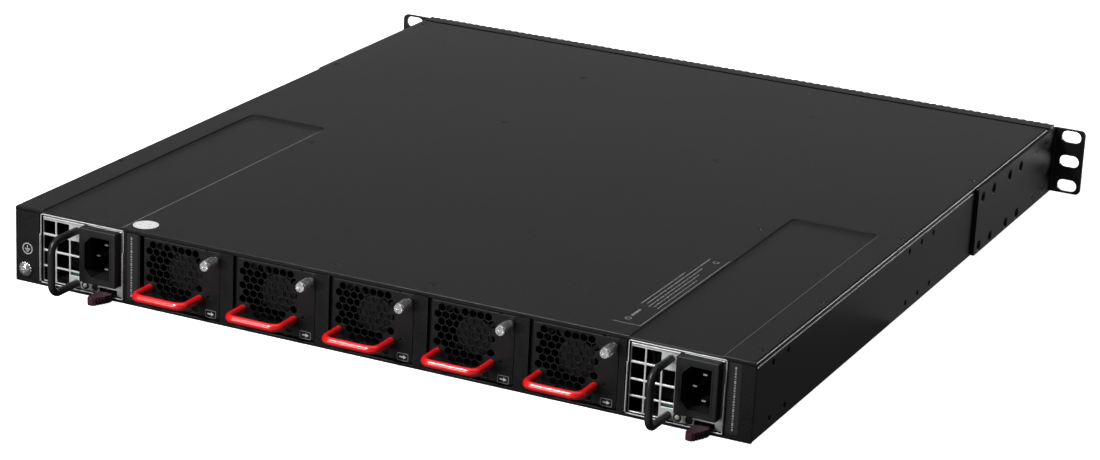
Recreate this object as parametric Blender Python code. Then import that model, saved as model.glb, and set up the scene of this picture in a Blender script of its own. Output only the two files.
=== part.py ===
"""A 1U rackmount network switch: steel chassis, port cages, boards, five hot-swap fan modules and two
hot-swap power supplies, each built from its separate pieces.

Frame: the origin is the middle of the underside, +Y points to the rear, where the fans and power supplies
are, and +Z points up. Lengths are metres. Left and right are as seen from the rear, so left is +X.
"""

import math

import bmesh
import bpy
from mathutils import Matrix, Vector

# Chassis
BODY_WIDTH = 0.440
BODY_DEPTH = 0.490
BODY_HEIGHT = 0.0436
SHEET = 0.0012
GAP = 0.0003
SIDE = BODY_WIDTH / 2
REAR = BODY_DEPTH / 2
FRONT = -BODY_DEPTH / 2
BASE_TOP = BODY_HEIGHT - SHEET - GAP
LIP_LOW = 0.0414
SIDE_FLANGE = 0.009
REAR_FLANGE = 0.008
SILL_TOP = 0.0016
BEYOND = 0.01

# Front panel and rack brackets
PANEL = 0.0015
LIP_DEPTH = 0.0127
BRACKET_SHEET = 0.002
BRACKET_LENGTH = 0.150
BRACKET_LOW = 0.001
BRACKET_HIGH = 0.0425
RACK_WIDTH = 0.4826
EAR_FACE = FRONT + 0.003
SLOT_LENGTH = 0.0126
SLOT_HEIGHT = 0.0078
SLOT_SPACING = 0.015875
SLOT_X = 0.46513 / 2
SLOT_MIDDLE = 0.0218

# Ports at the front
CAGE_COUNT = 4
CAGE_SPACING = 0.075
CAGE_FIRST_X = -0.1275
CAGE_WIDTH = 0.0432
CAGE_LOW = 0.0069
CAGE_HIGH = 0.0366
CAGE_DEPTH = 0.060
PORT_COLUMN = 0.0206
PORT_ROWS = (0.0138, 0.0294)
PORT_WIDTH = 0.0186
PORT_HEIGHT = 0.0088
PORT_DEPTH = 0.055
JACK_X = -0.200
JACK_Z = 0.0146
JACK_SIZE = (0.0160, 0.0210, 0.0150)
JACK_OPENING = (0.0118, 0.0084)
JACK_DEPTH = 0.015
VENT_CENTRES = (-0.165, -0.090, -0.015, 0.060, 0.135, 0.175)
VENT_WIDTH = 0.022
VENT_HEIGHT = 0.010
VENT_ROWS = (0.014, 0.030)

# Fan modules. Their own frames stand at the middle of the face's bottom edge, in the rear plane.
FAN_COUNT = 5
FAN_PITCH = 0.0586
FAN_FIRST_X = 0.1129
FAN_BAY = (-0.0241, 0.0263)
FACE_HALF = 0.0238
FACE_LOW = 0.0022
FACE_HIGH = 0.0412
FACE_RECESS = 0.0004
PAN_DEPTH = 0.008
TRAY_DEPTH = 0.040
TRAY_SHEET = 0.0008
TRAY_RIGHT = -0.0172
FAN_X = 0.0033
FAN_Z = 0.0217
FAN_SIZE = 0.0388
FAN_DEPTH = 0.028
BORE_RADIUS = 0.0180
HUB_RADIUS = 0.0105
ROTOR_LENGTH = 0.0200
BLADE_COUNT = 5
GRILLE_HOLE = 0.0044
GRILLE_PITCH = 0.0096
HANDLE_LEGS = (-0.0112, 0.0201)
HANDLE_Z = 0.0124
HANDLE_REACH = 0.017
HANDLE_RADIUS = 0.0022
HANDLE_CORNER = 0.005
SCREW_X = -0.0211
SCREW_Z = 0.0359
SCREW_LENGTH = 0.0118
SCREW_RADIUS = 0.0031

# Fan cage: one folded strip that stands behind the rear wall and guides the modules
CAGE_SHEET = 0.001
CAGE_TOP = 0.0405
CAGE_FRONT = -0.0440
CAGE_NOSE = -0.0026
CAGE_LEFT = 0.0249
CAGE_RIGHT = -0.0181
AIR_WINDOW = 0.0180

# Power supplies. Their own frames stand on the underside in the rear plane, at the middle of the case.
SUPPLY_X = 0.177
SUPPLY_HALF = 0.02725
SUPPLY_LOW = 0.0019
SUPPLY_HIGH = 0.0419
SUPPLY_DEPTH = 0.210
SUPPLY_SHEET = 0.0008
RIM = 0.0006
SUPPLY_FACE = -0.0008
FACE_SHEET = 0.001
COLUMNS = ((0.0175, 0.0249), (0.0085, 0.0165), (0.0005, 0.0075))
ROWS = ((0.0306, 0.0382), (0.0213, 0.0294), (0.0122, 0.0202), (0.0032, 0.0112))
INLET_FLANGE = ((-0.0254, -0.0020), (0.0093, 0.0406))
INLET_BODY = ((-0.0234, -0.0040), (0.0113, 0.0386))
INLET_MOUTH = ((-0.0216, -0.0056), (0.0131, 0.0366))
INLET_PROUD = 0.0054
INLET_DEPTH = 0.022
INLET_CHAMFER = 0.0044
BLADE_SIZE = (0.0040, 0.0020)
BLADE_PLACES = ((-0.0020, 0.0062), (-0.0020, -0.0078), (0.0033, -0.0008))
BLADE_TIP = -0.0010
BAIL_X = 0.0033
BAIL_ENDS = (0.0056, 0.0359)
BAIL_REACH = 0.0236
BAIL_RADIUS = 0.0021
BAIL_CORNER = 0.007
LATCH_PIVOT = (-0.0170, -0.030)
LATCH_TAB = ((-0.0213, -0.0123), (0.0014, 0.0140), (0.0005, 0.0049))
LATCH_LEVER = (0.0030, 0.0048)
LATCH_SLOT = ((-0.0228, -0.0086), (0.0028, 0.0056))
LED_PLACE = (-0.00205, 0.0052)
LED_RADIUS = 0.0020
SUPPLY_FAN_SIZE = 0.0376
SUPPLY_FAN_Y = -0.040
SUPPLY_FAN_Z = 0.0219
BAY_CLEAR = 0.0003
BAY_SHEET = 0.0008

# Cover
POCKET_DEPTH = 0.0006
POCKET_X = (0.151, 0.202)
POCKET_LENGTH = 0.222
POCKET_CORNER = 0.0045
COVER_EDGE = 0.0001

# Boards and what stands on them
BOARD_LOW = 0.005
BOARD_HIGH = 0.0066
BOARD_HALF = 0.205
STANDOFFS = ((-0.19, -0.20), (0.19, -0.20), (-0.19, 0.0), (0.19, 0.0), (0.0, -0.02), (0.0, -0.16))
CHIP_CENTRE = (0.0, -0.085)
CHIP_SIZE = 0.050
SINK_SIZE = (0.100, 0.080)
CPU_CENTRE = (0.120, -0.060)
CPU_BOARD = 0.095
CPU_SINK = (0.070, 0.060)

GROUND_X = 0.2132
GROUND_Z = 0.0078

COARSE = 12
FINE = 16


# ---------------------------------------------------------------- outlines


def rectangle(low, high):
    return [(low[0], low[1]), (high[0], low[1]), (high[0], high[1]), (low[0], high[1])]


def circle(radius, sides, centre=(0.0, 0.0), turn=0.0):
    angles = [turn + 2 * math.pi * i / sides for i in range(sides)]
    return [(centre[0] + radius * math.cos(a), centre[1] + radius * math.sin(a)) for a in angles]


def arc(centre, radius, start, end, steps):
    angles = [start + (end - start) * i / steps for i in range(steps + 1)]
    return [(centre[0] + radius * math.cos(a), centre[1] + radius * math.sin(a)) for a in angles]


def obround(centre, length, height, steps=5):
    """A slot outline with half-round ends, long along the first axis."""
    radius = height / 2
    reach = length / 2 - radius
    right = arc((centre[0] + reach, centre[1]), radius, -math.pi / 2, math.pi / 2, steps)
    left = arc((centre[0] - reach, centre[1]), radius, math.pi / 2, 3 * math.pi / 2, steps)
    return right + left


def thick_strip(path, thickness):
    """The outline of a folded strip whose middle line is a path of square corners."""
    half = thickness / 2
    sides = {1: [], -1: []}
    for i, point in enumerate(path):
        before = Vector(path[i]) - Vector(path[i - 1]) if i else Vector(path[1]) - Vector(path[0])
        after = Vector(path[i + 1]) - Vector(point) if i + 1 < len(path) else before
        before, after = before.normalized(), after.normalized()
        normals = [Vector((-d.y, d.x)) for d in (before, after)]
        offset = normals[0] if (normals[0] - normals[1]).length < 1e-6 else normals[0] + normals[1]
        for sign, side in sides.items():
            side.append(tuple(Vector(point) + sign * half * offset))
    return sides[1] + sides[-1][::-1]


# ---------------------------------------------------------------- solids


def finished(shape):
    bmesh.ops.recalc_face_normals(shape, faces=shape.faces)
    mesh = bpy.data.meshes.new("shape")
    shape.to_mesh(mesh)
    shape.free()
    return mesh


def prism(outline, axis, low, high):
    """A closed prism along the axis. An outline's numbers are the other two axes, in X, Y, Z order."""
    order = {"x": (1, 2, 0), "y": (0, 2, 1), "z": (0, 1, 2)}[axis]
    shape = bmesh.new()
    ends = []
    for along in (low, high):
        ring = []
        for point in outline:
            place = [0.0, 0.0, 0.0]
            for slot, value in zip(order, (*point, along)):
                place[slot] = value
            ring.append(shape.verts.new(place))
        shape.faces.new(ring)
        ends.append(ring)
    for i in range(len(outline)):
        j = (i + 1) % len(outline)
        shape.faces.new((ends[0][i], ends[0][j], ends[1][j], ends[1][i]))
    return finished(shape)


def box(low, high):
    return prism(rectangle(low[:2], high[:2]), "z", low[2], high[2])


def turned(profile, sides):
    """A solid turned about the Y axis. The profile runs from end to end as (radius, y)."""
    shape = bmesh.new()
    rings = [[shape.verts.new((x, y, z)) for x, z in circle(radius, sides)] for radius, y in profile]
    shape.faces.new(rings[0])
    shape.faces.new(rings[-1])
    for first, second in zip(rings, rings[1:]):
        for i in range(sides):
            j = (i + 1) % sides
            shape.faces.new((first[i], first[j], second[j], second[i]))
    return finished(shape)


def rod(path, normal, radius, sides):
    """A round rod along a path that lies in the plane with this normal."""
    normal = Vector(normal)
    points = [Vector(p) for p in path]
    shape = bmesh.new()
    rings = []
    for i, point in enumerate(points):
        ahead = points[min(i + 1, len(points) - 1)] - points[max(i - 1, 0)]
        across = ahead.normalized().cross(normal)
        ring = [shape.verts.new(point + across * u + normal * v) for u, v in circle(radius, sides)]
        rings.append(ring)
    shape.faces.new(rings[0])
    shape.faces.new(rings[-1])
    for first, second in zip(rings, rings[1:]):
        for i in range(sides):
            j = (i + 1) % sides
            shape.faces.new((first[i], first[j], second[j], second[i]))
    return finished(shape)


def bail_path(low, high, root, reach, corner, steps=3):
    """The middle line of a U-shaped handle, as (along its bar, outwards)."""
    near = arc((low + corner, reach - corner), corner, math.pi, math.pi / 2, steps)
    far = arc((high - corner, reach - corner), corner, math.pi / 2, 0.0, steps)
    return [(low, root)] + near + far + [(high, root)]


def joined(meshes):
    """Several shapes in one mesh, still apart, for use as a cutter or before a union."""
    shape = bmesh.new()
    for mesh in meshes:
        shape.from_mesh(mesh)
    return finished(shape)


def combined(mesh, others, operation):
    """The mesh after a Boolean with each of the others in turn."""
    collection = bpy.context.scene.collection
    subject = bpy.data.objects.new("subject", mesh)
    helpers = [subject]
    collection.objects.link(subject)
    for other in others:
        tool = bpy.data.objects.new("tool", other)
        collection.objects.link(tool)
        modifier = subject.modifiers.new("combine", "BOOLEAN")
        modifier.operation = operation
        modifier.object = tool
        helpers.append(tool)
    graph = bpy.context.evaluated_depsgraph_get()
    result = bpy.data.meshes.new_from_object(subject.evaluated_get(graph))
    for helper in helpers:
        bpy.data.objects.remove(helper)
    return result


def cut(mesh, *cutters):
    return combined(mesh, cutters, "DIFFERENCE")


def united(mesh, *others):
    return combined(mesh, others, "UNION")


# ---------------------------------------------------------------- materials and objects


def material(name, colour, roughness, metallic=0.0):
    made = bpy.data.materials.new(name)
    made.use_nodes = True
    shader = made.node_tree.nodes["Principled BSDF"]
    shader.inputs["Base Color"].default_value = (*colour, 1.0)
    shader.inputs["Roughness"].default_value = roughness
    shader.inputs["Metallic"].default_value = metallic
    return made


def make_materials():
    return {
        "cover": material("cover_paint", (0.030, 0.028, 0.029), 0.45),
        "chassis": material("chassis_paint", (0.016, 0.016, 0.017), 0.6),
        "zinc": material("zinc_steel", (0.72, 0.74, 0.77), 0.3, 1.0),
        "nickel": material("nickel", (0.82, 0.83, 0.85), 0.2, 1.0),
        "handle": material("red_handle", (0.80, 0.010, 0.015), 0.25),
        "latch": material("maroon_latch", (0.085, 0.022, 0.034), 0.45),
        "black": material("black_plastic", (0.020, 0.020, 0.022), 0.5),
        "wire": material("black_handle", (0.014, 0.014, 0.015), 0.35),
        "rotor": material("fan_plastic", (0.012, 0.012, 0.013), 0.4),
        "board": material("circuit_board", (0.010, 0.110, 0.045), 0.4),
        "chip": material("chip_package", (0.030, 0.030, 0.034), 0.5),
        "aluminium": material("heat_sink", (0.60, 0.61, 0.62), 0.35, 1.0),
        "lens": material("lamp_lens", (0.55, 0.55, 0.48), 0.2),
    }


def add(name, mesh, finish, location=(0.0, 0.0, 0.0), parent=None, smooth=False):
    mesh.name = name
    mesh.materials.clear()
    mesh.materials.append(finish)
    if smooth:
        mesh.shade_smooth()
        mesh.set_sharp_from_angle(angle=math.radians(40))
    obj = bpy.data.objects.new(name, mesh)
    obj.location = location
    obj.parent = parent
    bpy.context.scene.collection.objects.link(obj)
    return obj


def empty(name, location):
    obj = bpy.data.objects.new(name, None)
    obj.location = location
    bpy.context.scene.collection.objects.link(obj)
    return obj


# ---------------------------------------------------------------- chassis


def fan_x(number):
    return FAN_FIRST_X - FAN_PITCH * number


def rear_openings():
    """The low and high X of every bay in the rear wall."""
    fans = [(fan_x(i) + FAN_BAY[0], fan_x(i) + FAN_BAY[1]) for i in range(FAN_COUNT)]
    half = SUPPLY_HALF + 0.00035
    supplies = [(x - half, x + half) for x in (SUPPLY_X, -SUPPLY_X)]
    return fans + supplies


def chassis_base():
    """A tray with pressed-in standoffs, sides whose stepped top flanges carry the cover, and a rear wall."""
    start = FRONT + PANEL + GAP
    side_top = LIP_LOW - GAP
    step = SIDE - COVER_EDGE - SHEET - GAP
    block = united(
        box((-SIDE, start, 0.0), (SIDE, REAR, side_top)), box((-step, start, SHEET), (step, REAR, BASE_TOP))
    )
    inside = united(
        box((-SIDE + SHEET, start - BEYOND, SHEET), (SIDE - SHEET, REAR - SHEET, side_top - SHEET)),
        box((-step + SHEET, start - BEYOND, 2 * SHEET), (step - SHEET, REAR - SHEET, BASE_TOP - SHEET)),
    )
    mouth = box(
        (-SIDE + SIDE_FLANGE, start - BEYOND, 2 * SHEET),
        (SIDE - SIDE_FLANGE, REAR - REAR_FLANGE, BASE_TOP + BEYOND),
    )
    bays = [
        box((low, REAR - 2 * REAR_FLANGE, SILL_TOP), (high, REAR + BEYOND, BASE_TOP + BEYOND))
        for low, high in rear_openings()
    ]
    ground_hole = prism(circle(0.0024, COARSE, (GROUND_X, GROUND_Z)), "y", REAR - BEYOND, REAR + BEYOND)
    posts = [
        prism(circle(0.003, 6, place), "z", SHEET / 2, BOARD_LOW - GAP) for place in STANDOFFS
    ]
    shell = cut(block, inside, mouth, joined(bays), ground_hole)
    return united(shell, joined(posts))


def pocket_outline(low, high):
    """The sunken pocket over a power supply: open at the rear edge, with two round front corners."""
    front = REAR - POCKET_LENGTH
    radius = POCKET_CORNER
    left = arc((low + radius, front + radius), radius, math.pi, 3 * math.pi / 2, 4)
    right = arc((high - radius, front + radius), radius, -math.pi / 2, 0.0, 4)
    return left + right + [(high, REAR + BEYOND), (low, REAR + BEYOND)]


def top_cover():
    """A sheet with its two sides folded down over the base, and a shallow pocket over each power supply."""
    low = BODY_HEIGHT - SHEET
    half = SIDE - COVER_EDGE
    start = FRONT + LIP_DEPTH + GAP
    block = box((-half, start, LIP_LOW), (half, REAR, BODY_HEIGHT))
    below = box((-half + SHEET, start - BEYOND, 0.0), (half - SHEET, REAR + BEYOND, low))
    sheet = cut(block, below)
    spans = (POCKET_X, (-POCKET_X[1], -POCKET_X[0]))
    pockets = [
        prism(pocket_outline(*span), "z", BODY_HEIGHT - POCKET_DEPTH, BODY_HEIGHT + BEYOND)
        for span in spans
    ]
    return cut(sheet, joined(pockets))


def cage_x(number):
    return CAGE_FIRST_X + CAGE_SPACING * number


def port_centres(number):
    """The four port centres of a cage, as (x, z)."""
    columns = (cage_x(number) - PORT_COLUMN / 2, cage_x(number) + PORT_COLUMN / 2)
    return [(x, z) for x in columns for z in PORT_ROWS]


def port_outline(centre):
    half = (PORT_WIDTH / 2, PORT_HEIGHT / 2)
    low = (centre[0] - half[0], centre[1] - half[1])
    return rectangle(low, (centre[0] + half[0], centre[1] + half[1]))


def jack_outline():
    half = (JACK_OPENING[0] / 2, JACK_OPENING[1] / 2)
    return rectangle((JACK_X - half[0], JACK_Z - half[1]), (JACK_X + half[0], JACK_Z + half[1]))


def vent_outlines():
    half = (VENT_WIDTH / 2, VENT_HEIGHT / 2)
    return [
        rectangle((x - half[0], z - half[1]), (x + half[0], z + half[1]))
        for x in VENT_CENTRES
        for z in VENT_ROWS
    ]


def front_panel():
    """An upright panel whose top is bent back into a lip that meets the cover."""
    lip_low = BODY_HEIGHT - SHEET
    profile = [
        (FRONT, 0.0),
        (FRONT + PANEL, 0.0),
        (FRONT + PANEL, lip_low),
        (FRONT + LIP_DEPTH, lip_low),
        (FRONT + LIP_DEPTH, BODY_HEIGHT),
        (FRONT, BODY_HEIGHT),
    ]
    panel = prism(profile, "x", -SIDE, SIDE)
    outlines = [port_outline(c) for i in range(CAGE_COUNT) for c in port_centres(i)]
    outlines += [jack_outline(), *vent_outlines()]
    holes = [prism(o, "y", FRONT - BEYOND, FRONT + PANEL + BEYOND) for o in outlines]
    return cut(panel, joined(holes))


def rack_bracket(sign):
    """A side plate bent out into an ear with three slots. The sign is +1 for the left bracket."""
    near = SIDE + GAP
    far = near + BRACKET_SHEET
    tip = RACK_WIDTH / 2
    outline = [
        (near, EAR_FACE - BRACKET_SHEET),
        (tip, EAR_FACE - BRACKET_SHEET),
        (tip, EAR_FACE),
        (far, EAR_FACE),
        (far, EAR_FACE + BRACKET_LENGTH),
        (near, EAR_FACE + BRACKET_LENGTH),
    ]
    plate = prism([(sign * x, y) for x, y in outline], "z", BRACKET_LOW, BRACKET_HIGH)
    heights = [SLOT_MIDDLE + step * SLOT_SPACING for step in (-1, 0, 1)]
    slots = [
        prism(
            obround((sign * SLOT_X, z), SLOT_LENGTH, SLOT_HEIGHT),
            "y",
            EAR_FACE - 2 * BRACKET_SHEET,
            EAR_FACE + BRACKET_SHEET,
        )
        for z in heights
    ]
    return cut(plate, joined(slots))


def fan_cage():
    """A strip folded back and forth: a back wall behind each module, a square channel between modules."""
    path = [(FAN_FIRST_X + CAGE_LEFT, REAR + CAGE_NOSE)]
    for i in range(FAN_COUNT):
        left, right = fan_x(i) + CAGE_LEFT, fan_x(i) + CAGE_RIGHT
        if i:
            path.append((left, REAR + CAGE_NOSE))
        path += [(left, REAR + CAGE_FRONT), (right, REAR + CAGE_FRONT), (right, REAR + CAGE_NOSE)]
    path.append((fan_x(FAN_COUNT - 1) + FAN_BAY[0] + 0.001, REAR + CAGE_NOSE))
    strip = prism(thick_strip(path, CAGE_SHEET), "z", SHEET + GAP, CAGE_TOP)
    windows = []
    for i in range(FAN_COUNT):
        middle = fan_x(i) + (CAGE_LEFT + CAGE_RIGHT) / 2
        outline = rectangle(
            (middle - AIR_WINDOW, FAN_Z - AIR_WINDOW * 0.9), (middle + AIR_WINDOW, FAN_Z + AIR_WINDOW * 0.9)
        )
        windows.append(prism(outline, "y", REAR + CAGE_FRONT - 0.002, REAR + CAGE_FRONT + 0.002))
        hole = circle(0.0022, 8, (fan_x(i) + SCREW_X, SCREW_Z))
        windows.append(prism(hole, "y", REAR + CAGE_NOSE - 0.002, REAR + CAGE_NOSE + 0.001))
    return cut(strip, joined(windows))


def supply_bay(sign):
    """A U of sheet that guides one power supply. Its back wall has a window for the edge connector."""
    reach = SUPPLY_HALF + BAY_CLEAR + BAY_SHEET / 2
    middle = sign * SUPPLY_X
    nose = REAR - 2 * SHEET
    back = REAR - SUPPLY_DEPTH - 0.004
    path = [
        (middle - reach, nose),
        (middle - reach, back),
        (middle + reach, back),
        (middle + reach, nose),
    ]
    wall = prism(thick_strip(path, BAY_SHEET), "z", SHEET + GAP, CAGE_TOP)
    window = rectangle((middle - 0.020, 0.004), (middle + 0.020, 0.020))
    return cut(wall, prism(window, "y", back - 0.002, back + 0.002))


def ground_screw():
    """A pan-head screw on a washer, about the Y axis."""
    profile = (
        (0.0019, -0.008),
        (0.0019, GAP),
        (0.0040, GAP),
        (0.0040, 0.0010),
        (0.0031, 0.0010),
        (0.0031, 0.0020),
        (0.0020, 0.0026),
    )
    return turned(profile, FINE)


def build_chassis(finish):
    add("chassis_base", chassis_base(), finish["chassis"])
    add("top_cover", top_cover(), finish["cover"])
    add("front_panel", front_panel(), finish["chassis"])
    for side, sign in (("left", 1), ("right", -1)):
        add(f"rack_bracket_{side}", rack_bracket(sign), finish["chassis"])
        add(f"supply_bay_{side}", supply_bay(sign), finish["zinc"])
    add("fan_cage", fan_cage(), finish["chassis"])
    add("ground_screw", ground_screw(), finish["nickel"], (GROUND_X, REAR, GROUND_Z), smooth=True)


# ---------------------------------------------------------------- ports and boards


def port_cage(number):
    """A cage of two stacked rows of two ports, open at the front."""
    front = FRONT + PANEL + GAP
    x = cage_x(number)
    block = box(
        (x - CAGE_WIDTH / 2, front, CAGE_LOW), (x + CAGE_WIDTH / 2, front + CAGE_DEPTH, CAGE_HIGH)
    )
    ports = [
        prism(port_outline(centre), "y", front - BEYOND, front + PORT_DEPTH)
        for centre in port_centres(number)
    ]
    return cut(block, joined(ports))


def management_jack():
    """A modular jack, open at the front."""
    front = FRONT + PANEL + GAP
    width, depth, height = JACK_SIZE
    low = (JACK_X - width / 2, front, JACK_Z - height / 2)
    block = box(low, (JACK_X + width / 2, front + depth, JACK_Z + height / 2))
    return cut(block, prism(jack_outline(), "y", front - BEYOND, front + JACK_DEPTH))


def heat_sink(centre, size, low, base, high, fins):
    """A base plate with upright fins that run front to rear with the air."""
    left = centre[0] - size[0] / 2
    pitch = size[0] / (fins - 0.5)
    profile = [(left, low), (left + size[0], low)]
    for i in reversed(range(fins)):
        x = left + i * pitch
        profile += [(x + pitch / 2, base), (x + pitch / 2, high), (x, high), (x, base)]
    profile = [profile[0], profile[1]] + profile[3:-1]
    return prism(profile, "y", centre[1] - size[1] / 2, centre[1] + size[1] / 2)


def build_boards(finish):
    start = FRONT + PANEL + GAP
    main = box((-BOARD_HALF, start + 0.001, BOARD_LOW), (BOARD_HALF, 0.024, BOARD_HIGH))
    add("main_board", main, finish["board"])
    fan_board = box((-0.140, 0.172, BOARD_LOW), (0.140, 0.196, BOARD_HIGH))
    add("fan_board", fan_board, finish["board"])
    half = CHIP_SIZE / 2
    low = (CHIP_CENTRE[0] - half, CHIP_CENTRE[1] - half, BOARD_HIGH + GAP)
    add("switch_chip", box(low, (CHIP_CENTRE[0] + half, CHIP_CENTRE[1] + half, 0.0091)), finish["chip"])
    sink = heat_sink(CHIP_CENTRE, SINK_SIZE, 0.0094, 0.0128, 0.0360, 14)
    add("switch_heat_sink", sink, finish["aluminium"])
    half = CPU_BOARD / 2
    low = (CPU_CENTRE[0] - half, CPU_CENTRE[1] - half, 0.0120)
    add("cpu_module", box(low, (CPU_CENTRE[0] + half, CPU_CENTRE[1] + half, 0.0136)), finish["board"])
    sink = heat_sink(CPU_CENTRE, CPU_SINK, 0.0139, 0.0169, 0.0340, 10)
    add("cpu_heat_sink", sink, finish["aluminium"])
    for i in range(CAGE_COUNT):
        add(f"port_cage_{i + 1}", port_cage(i), finish["zinc"])
    add("management_jack", management_jack(), finish["zinc"])


# ---------------------------------------------------------------- fans


def fan_housing(size, depth):
    """A square fan frame about the Y axis: round bore, with a motor disc on four struts at its rear end."""
    half = size / 2
    block = prism(rectangle((-half, -half), (half, half)), "y", -depth, 0.0)
    bore_radius = BORE_RADIUS * size / FAN_SIZE
    bore = prism(circle(bore_radius, FINE), "y", -depth - BEYOND, -0.003)
    sectors = []
    for i in range(4):
        start = math.pi / 2 * i + math.radians(8)
        end = math.pi / 2 * (i + 1) - math.radians(8)
        outline = arc((0, 0), bore_radius, start, end, 3) + arc((0, 0), HUB_RADIUS, end, start, 2)
        sectors.append(prism(outline, "y", -0.005, BEYOND))
    return cut(block, bore, joined(sectors))


def fan_rotor(scale):
    """A hub with flat pitched blades, about the Y axis, from y = 0 inwards."""
    rim = (HUB_RADIUS - 0.001, -ROTOR_LENGTH)
    hub = turned((rim, (HUB_RADIUS, -ROTOR_LENGTH + 0.001), (HUB_RADIUS, 0.0)), FINE)
    blade = box((-0.0050, -0.0005, 0.0090), (0.0050, 0.0005, 0.0163 * scale))
    pitched = Matrix.Translation((0, -ROTOR_LENGTH / 2, 0)) @ Matrix.Rotation(math.radians(50), 4, "Z")
    blades = []
    for i in range(BLADE_COUNT):
        turn = Matrix.Rotation(2 * math.pi * i / BLADE_COUNT, 4, "Y")
        copy = blade.copy()
        copy.transform(turn @ pitched)
        blades.append(copy)
    return united(hub, joined(blades))


def grille_holes():
    """Six hexagonal holes round a middle one, behind which the fan turns."""
    centres = [(FAN_X, FAN_Z)]
    centres += circle(GRILLE_PITCH, 6, (FAN_X, FAN_Z), math.pi / 6)
    return [prism(circle(GRILLE_HOLE, 6, c), "y", -BEYOND, BEYOND) for c in centres]


def fan_tray():
    """A face with a shallow pan behind it and an open frame that holds the fan."""
    face = -FACE_RECESS
    back = face - TRAY_DEPTH
    left = FACE_HALF - TRAY_SHEET
    inner_right = TRAY_RIGHT + TRAY_SHEET
    block = box((-FACE_HALF, back, FACE_LOW), (FACE_HALF, face, FACE_HIGH))
    beside = box((-FACE_HALF - BEYOND, back - BEYOND, 0.0), (TRAY_RIGHT, face - SHEET, BODY_HEIGHT))
    pan = box(
        (inner_right, back + SHEET, FACE_LOW + TRAY_SHEET), (left, face - SHEET, FACE_HIGH - TRAY_SHEET)
    )
    frame = box((inner_right, back + SHEET, 0.0), (left, face - PAN_DEPTH, BODY_HEIGHT))
    window = prism(circle(0.0175, 8, (FAN_X, FAN_Z), math.pi / 8), "y", back - BEYOND, back + 2 * SHEET)
    screw_hole = prism(circle(0.0022, 8, (SCREW_X, SCREW_Z)), "y", -BEYOND / 2, BEYOND)
    return cut(block, beside, pan, frame, window, joined([*grille_holes(), screw_hole]))


def fan_handle():
    low, high = HANDLE_LEGS
    path = bail_path(low, high, -FACE_RECESS + GAP, HANDLE_REACH, HANDLE_CORNER)
    return rod([(x, y, 0.0) for x, y in path], (0, 0, 1), HANDLE_RADIUS, 8)


def thumbscrew():
    """A captive screw about the Y axis: thin shank, collar and long knurled head."""
    start = -FACE_RECESS + GAP
    profile = (
        (0.0015, -0.0060),
        (0.0015, start),
        (0.0026, start),
        (0.0026, 0.0018),
        (SCREW_RADIUS, 0.0022),
        (SCREW_RADIUS, SCREW_LENGTH - 0.0008),
        (SCREW_RADIUS - 0.0008, SCREW_LENGTH),
    )
    return turned(profile, COARSE)


def build_fan_modules(finish):
    tray = fan_tray()
    housing = fan_housing(FAN_SIZE, FAN_DEPTH)
    rotor = fan_rotor(1.0)
    handle = fan_handle()
    screw = thumbscrew()
    fan_face = -FACE_RECESS - PAN_DEPTH - GAP
    for i in range(FAN_COUNT):
        name = f"fan_{i + 1}"
        module = empty(f"{name}_module", (fan_x(i), REAR, 0.0))
        add(f"{name}_tray", tray, finish["chassis"], parent=module)
        add(f"{name}_housing", housing, finish["rotor"], (FAN_X, fan_face, FAN_Z), module)
        rotor_place = (FAN_X, fan_face - 0.005, FAN_Z)
        add(f"{name}_rotor", rotor, finish["rotor"], rotor_place, module, smooth=True)
        add(f"{name}_handle", handle, finish["handle"], (0, 0, HANDLE_Z), module, smooth=True)
        add(f"{name}_thumbscrew", screw, finish["nickel"], (SCREW_X, 0, SCREW_Z), module, smooth=True)


# ---------------------------------------------------------------- power supplies


def supply_case():
    """A steel box open at its inner end. Its face has a grid, and openings for the inlet, latch and lamp."""
    half = SUPPLY_HALF
    sheet = SUPPLY_SHEET
    inner_low = (-half + sheet, SUPPLY_LOW + sheet)
    inner_high = (half - sheet, SUPPLY_HIGH - sheet)
    block = box((-half, -SUPPLY_DEPTH, SUPPLY_LOW), (half, RIM, SUPPLY_HIGH))
    rim = prism(rectangle(inner_low, inner_high), "y", SUPPLY_FACE, BEYOND)
    hollow = prism(rectangle(inner_low, inner_high), "y", -SUPPLY_DEPTH - BEYOND, SUPPLY_FACE - FACE_SHEET)
    outlines = []
    for i, (low, high) in enumerate(COLUMNS):
        for j, (bottom, top) in enumerate(ROWS):
            if (i, j) not in ((2, 0), (2, 3)):
                outlines.append(rectangle((low, bottom), (high, top)))
    (low, high), (bottom, top) = INLET_BODY
    outlines.append(rectangle((low - GAP, bottom - GAP), (high + GAP, top + GAP)))
    (low, high), (bottom, top) = LATCH_SLOT
    outlines.append(rectangle((low, bottom), (high, top)))
    outlines.append(circle(LED_RADIUS + 0.0004, COARSE, LED_PLACE))
    holes = [prism(o, "y", SUPPLY_FACE - 3 * FACE_SHEET, BEYOND) for o in outlines]
    return cut(block, rim, hollow, joined(holes))


def inlet_mouth():
    """The mouth's outline, with two cut corners on the side of the earth blade."""
    (low, high), (bottom, top) = INLET_MOUTH
    cut_off = INLET_CHAMFER
    return [
        (low, bottom),
        (high - cut_off, bottom),
        (high, bottom + cut_off),
        (high, top - cut_off),
        (high - cut_off, top),
        (low, top),
    ]


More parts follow.
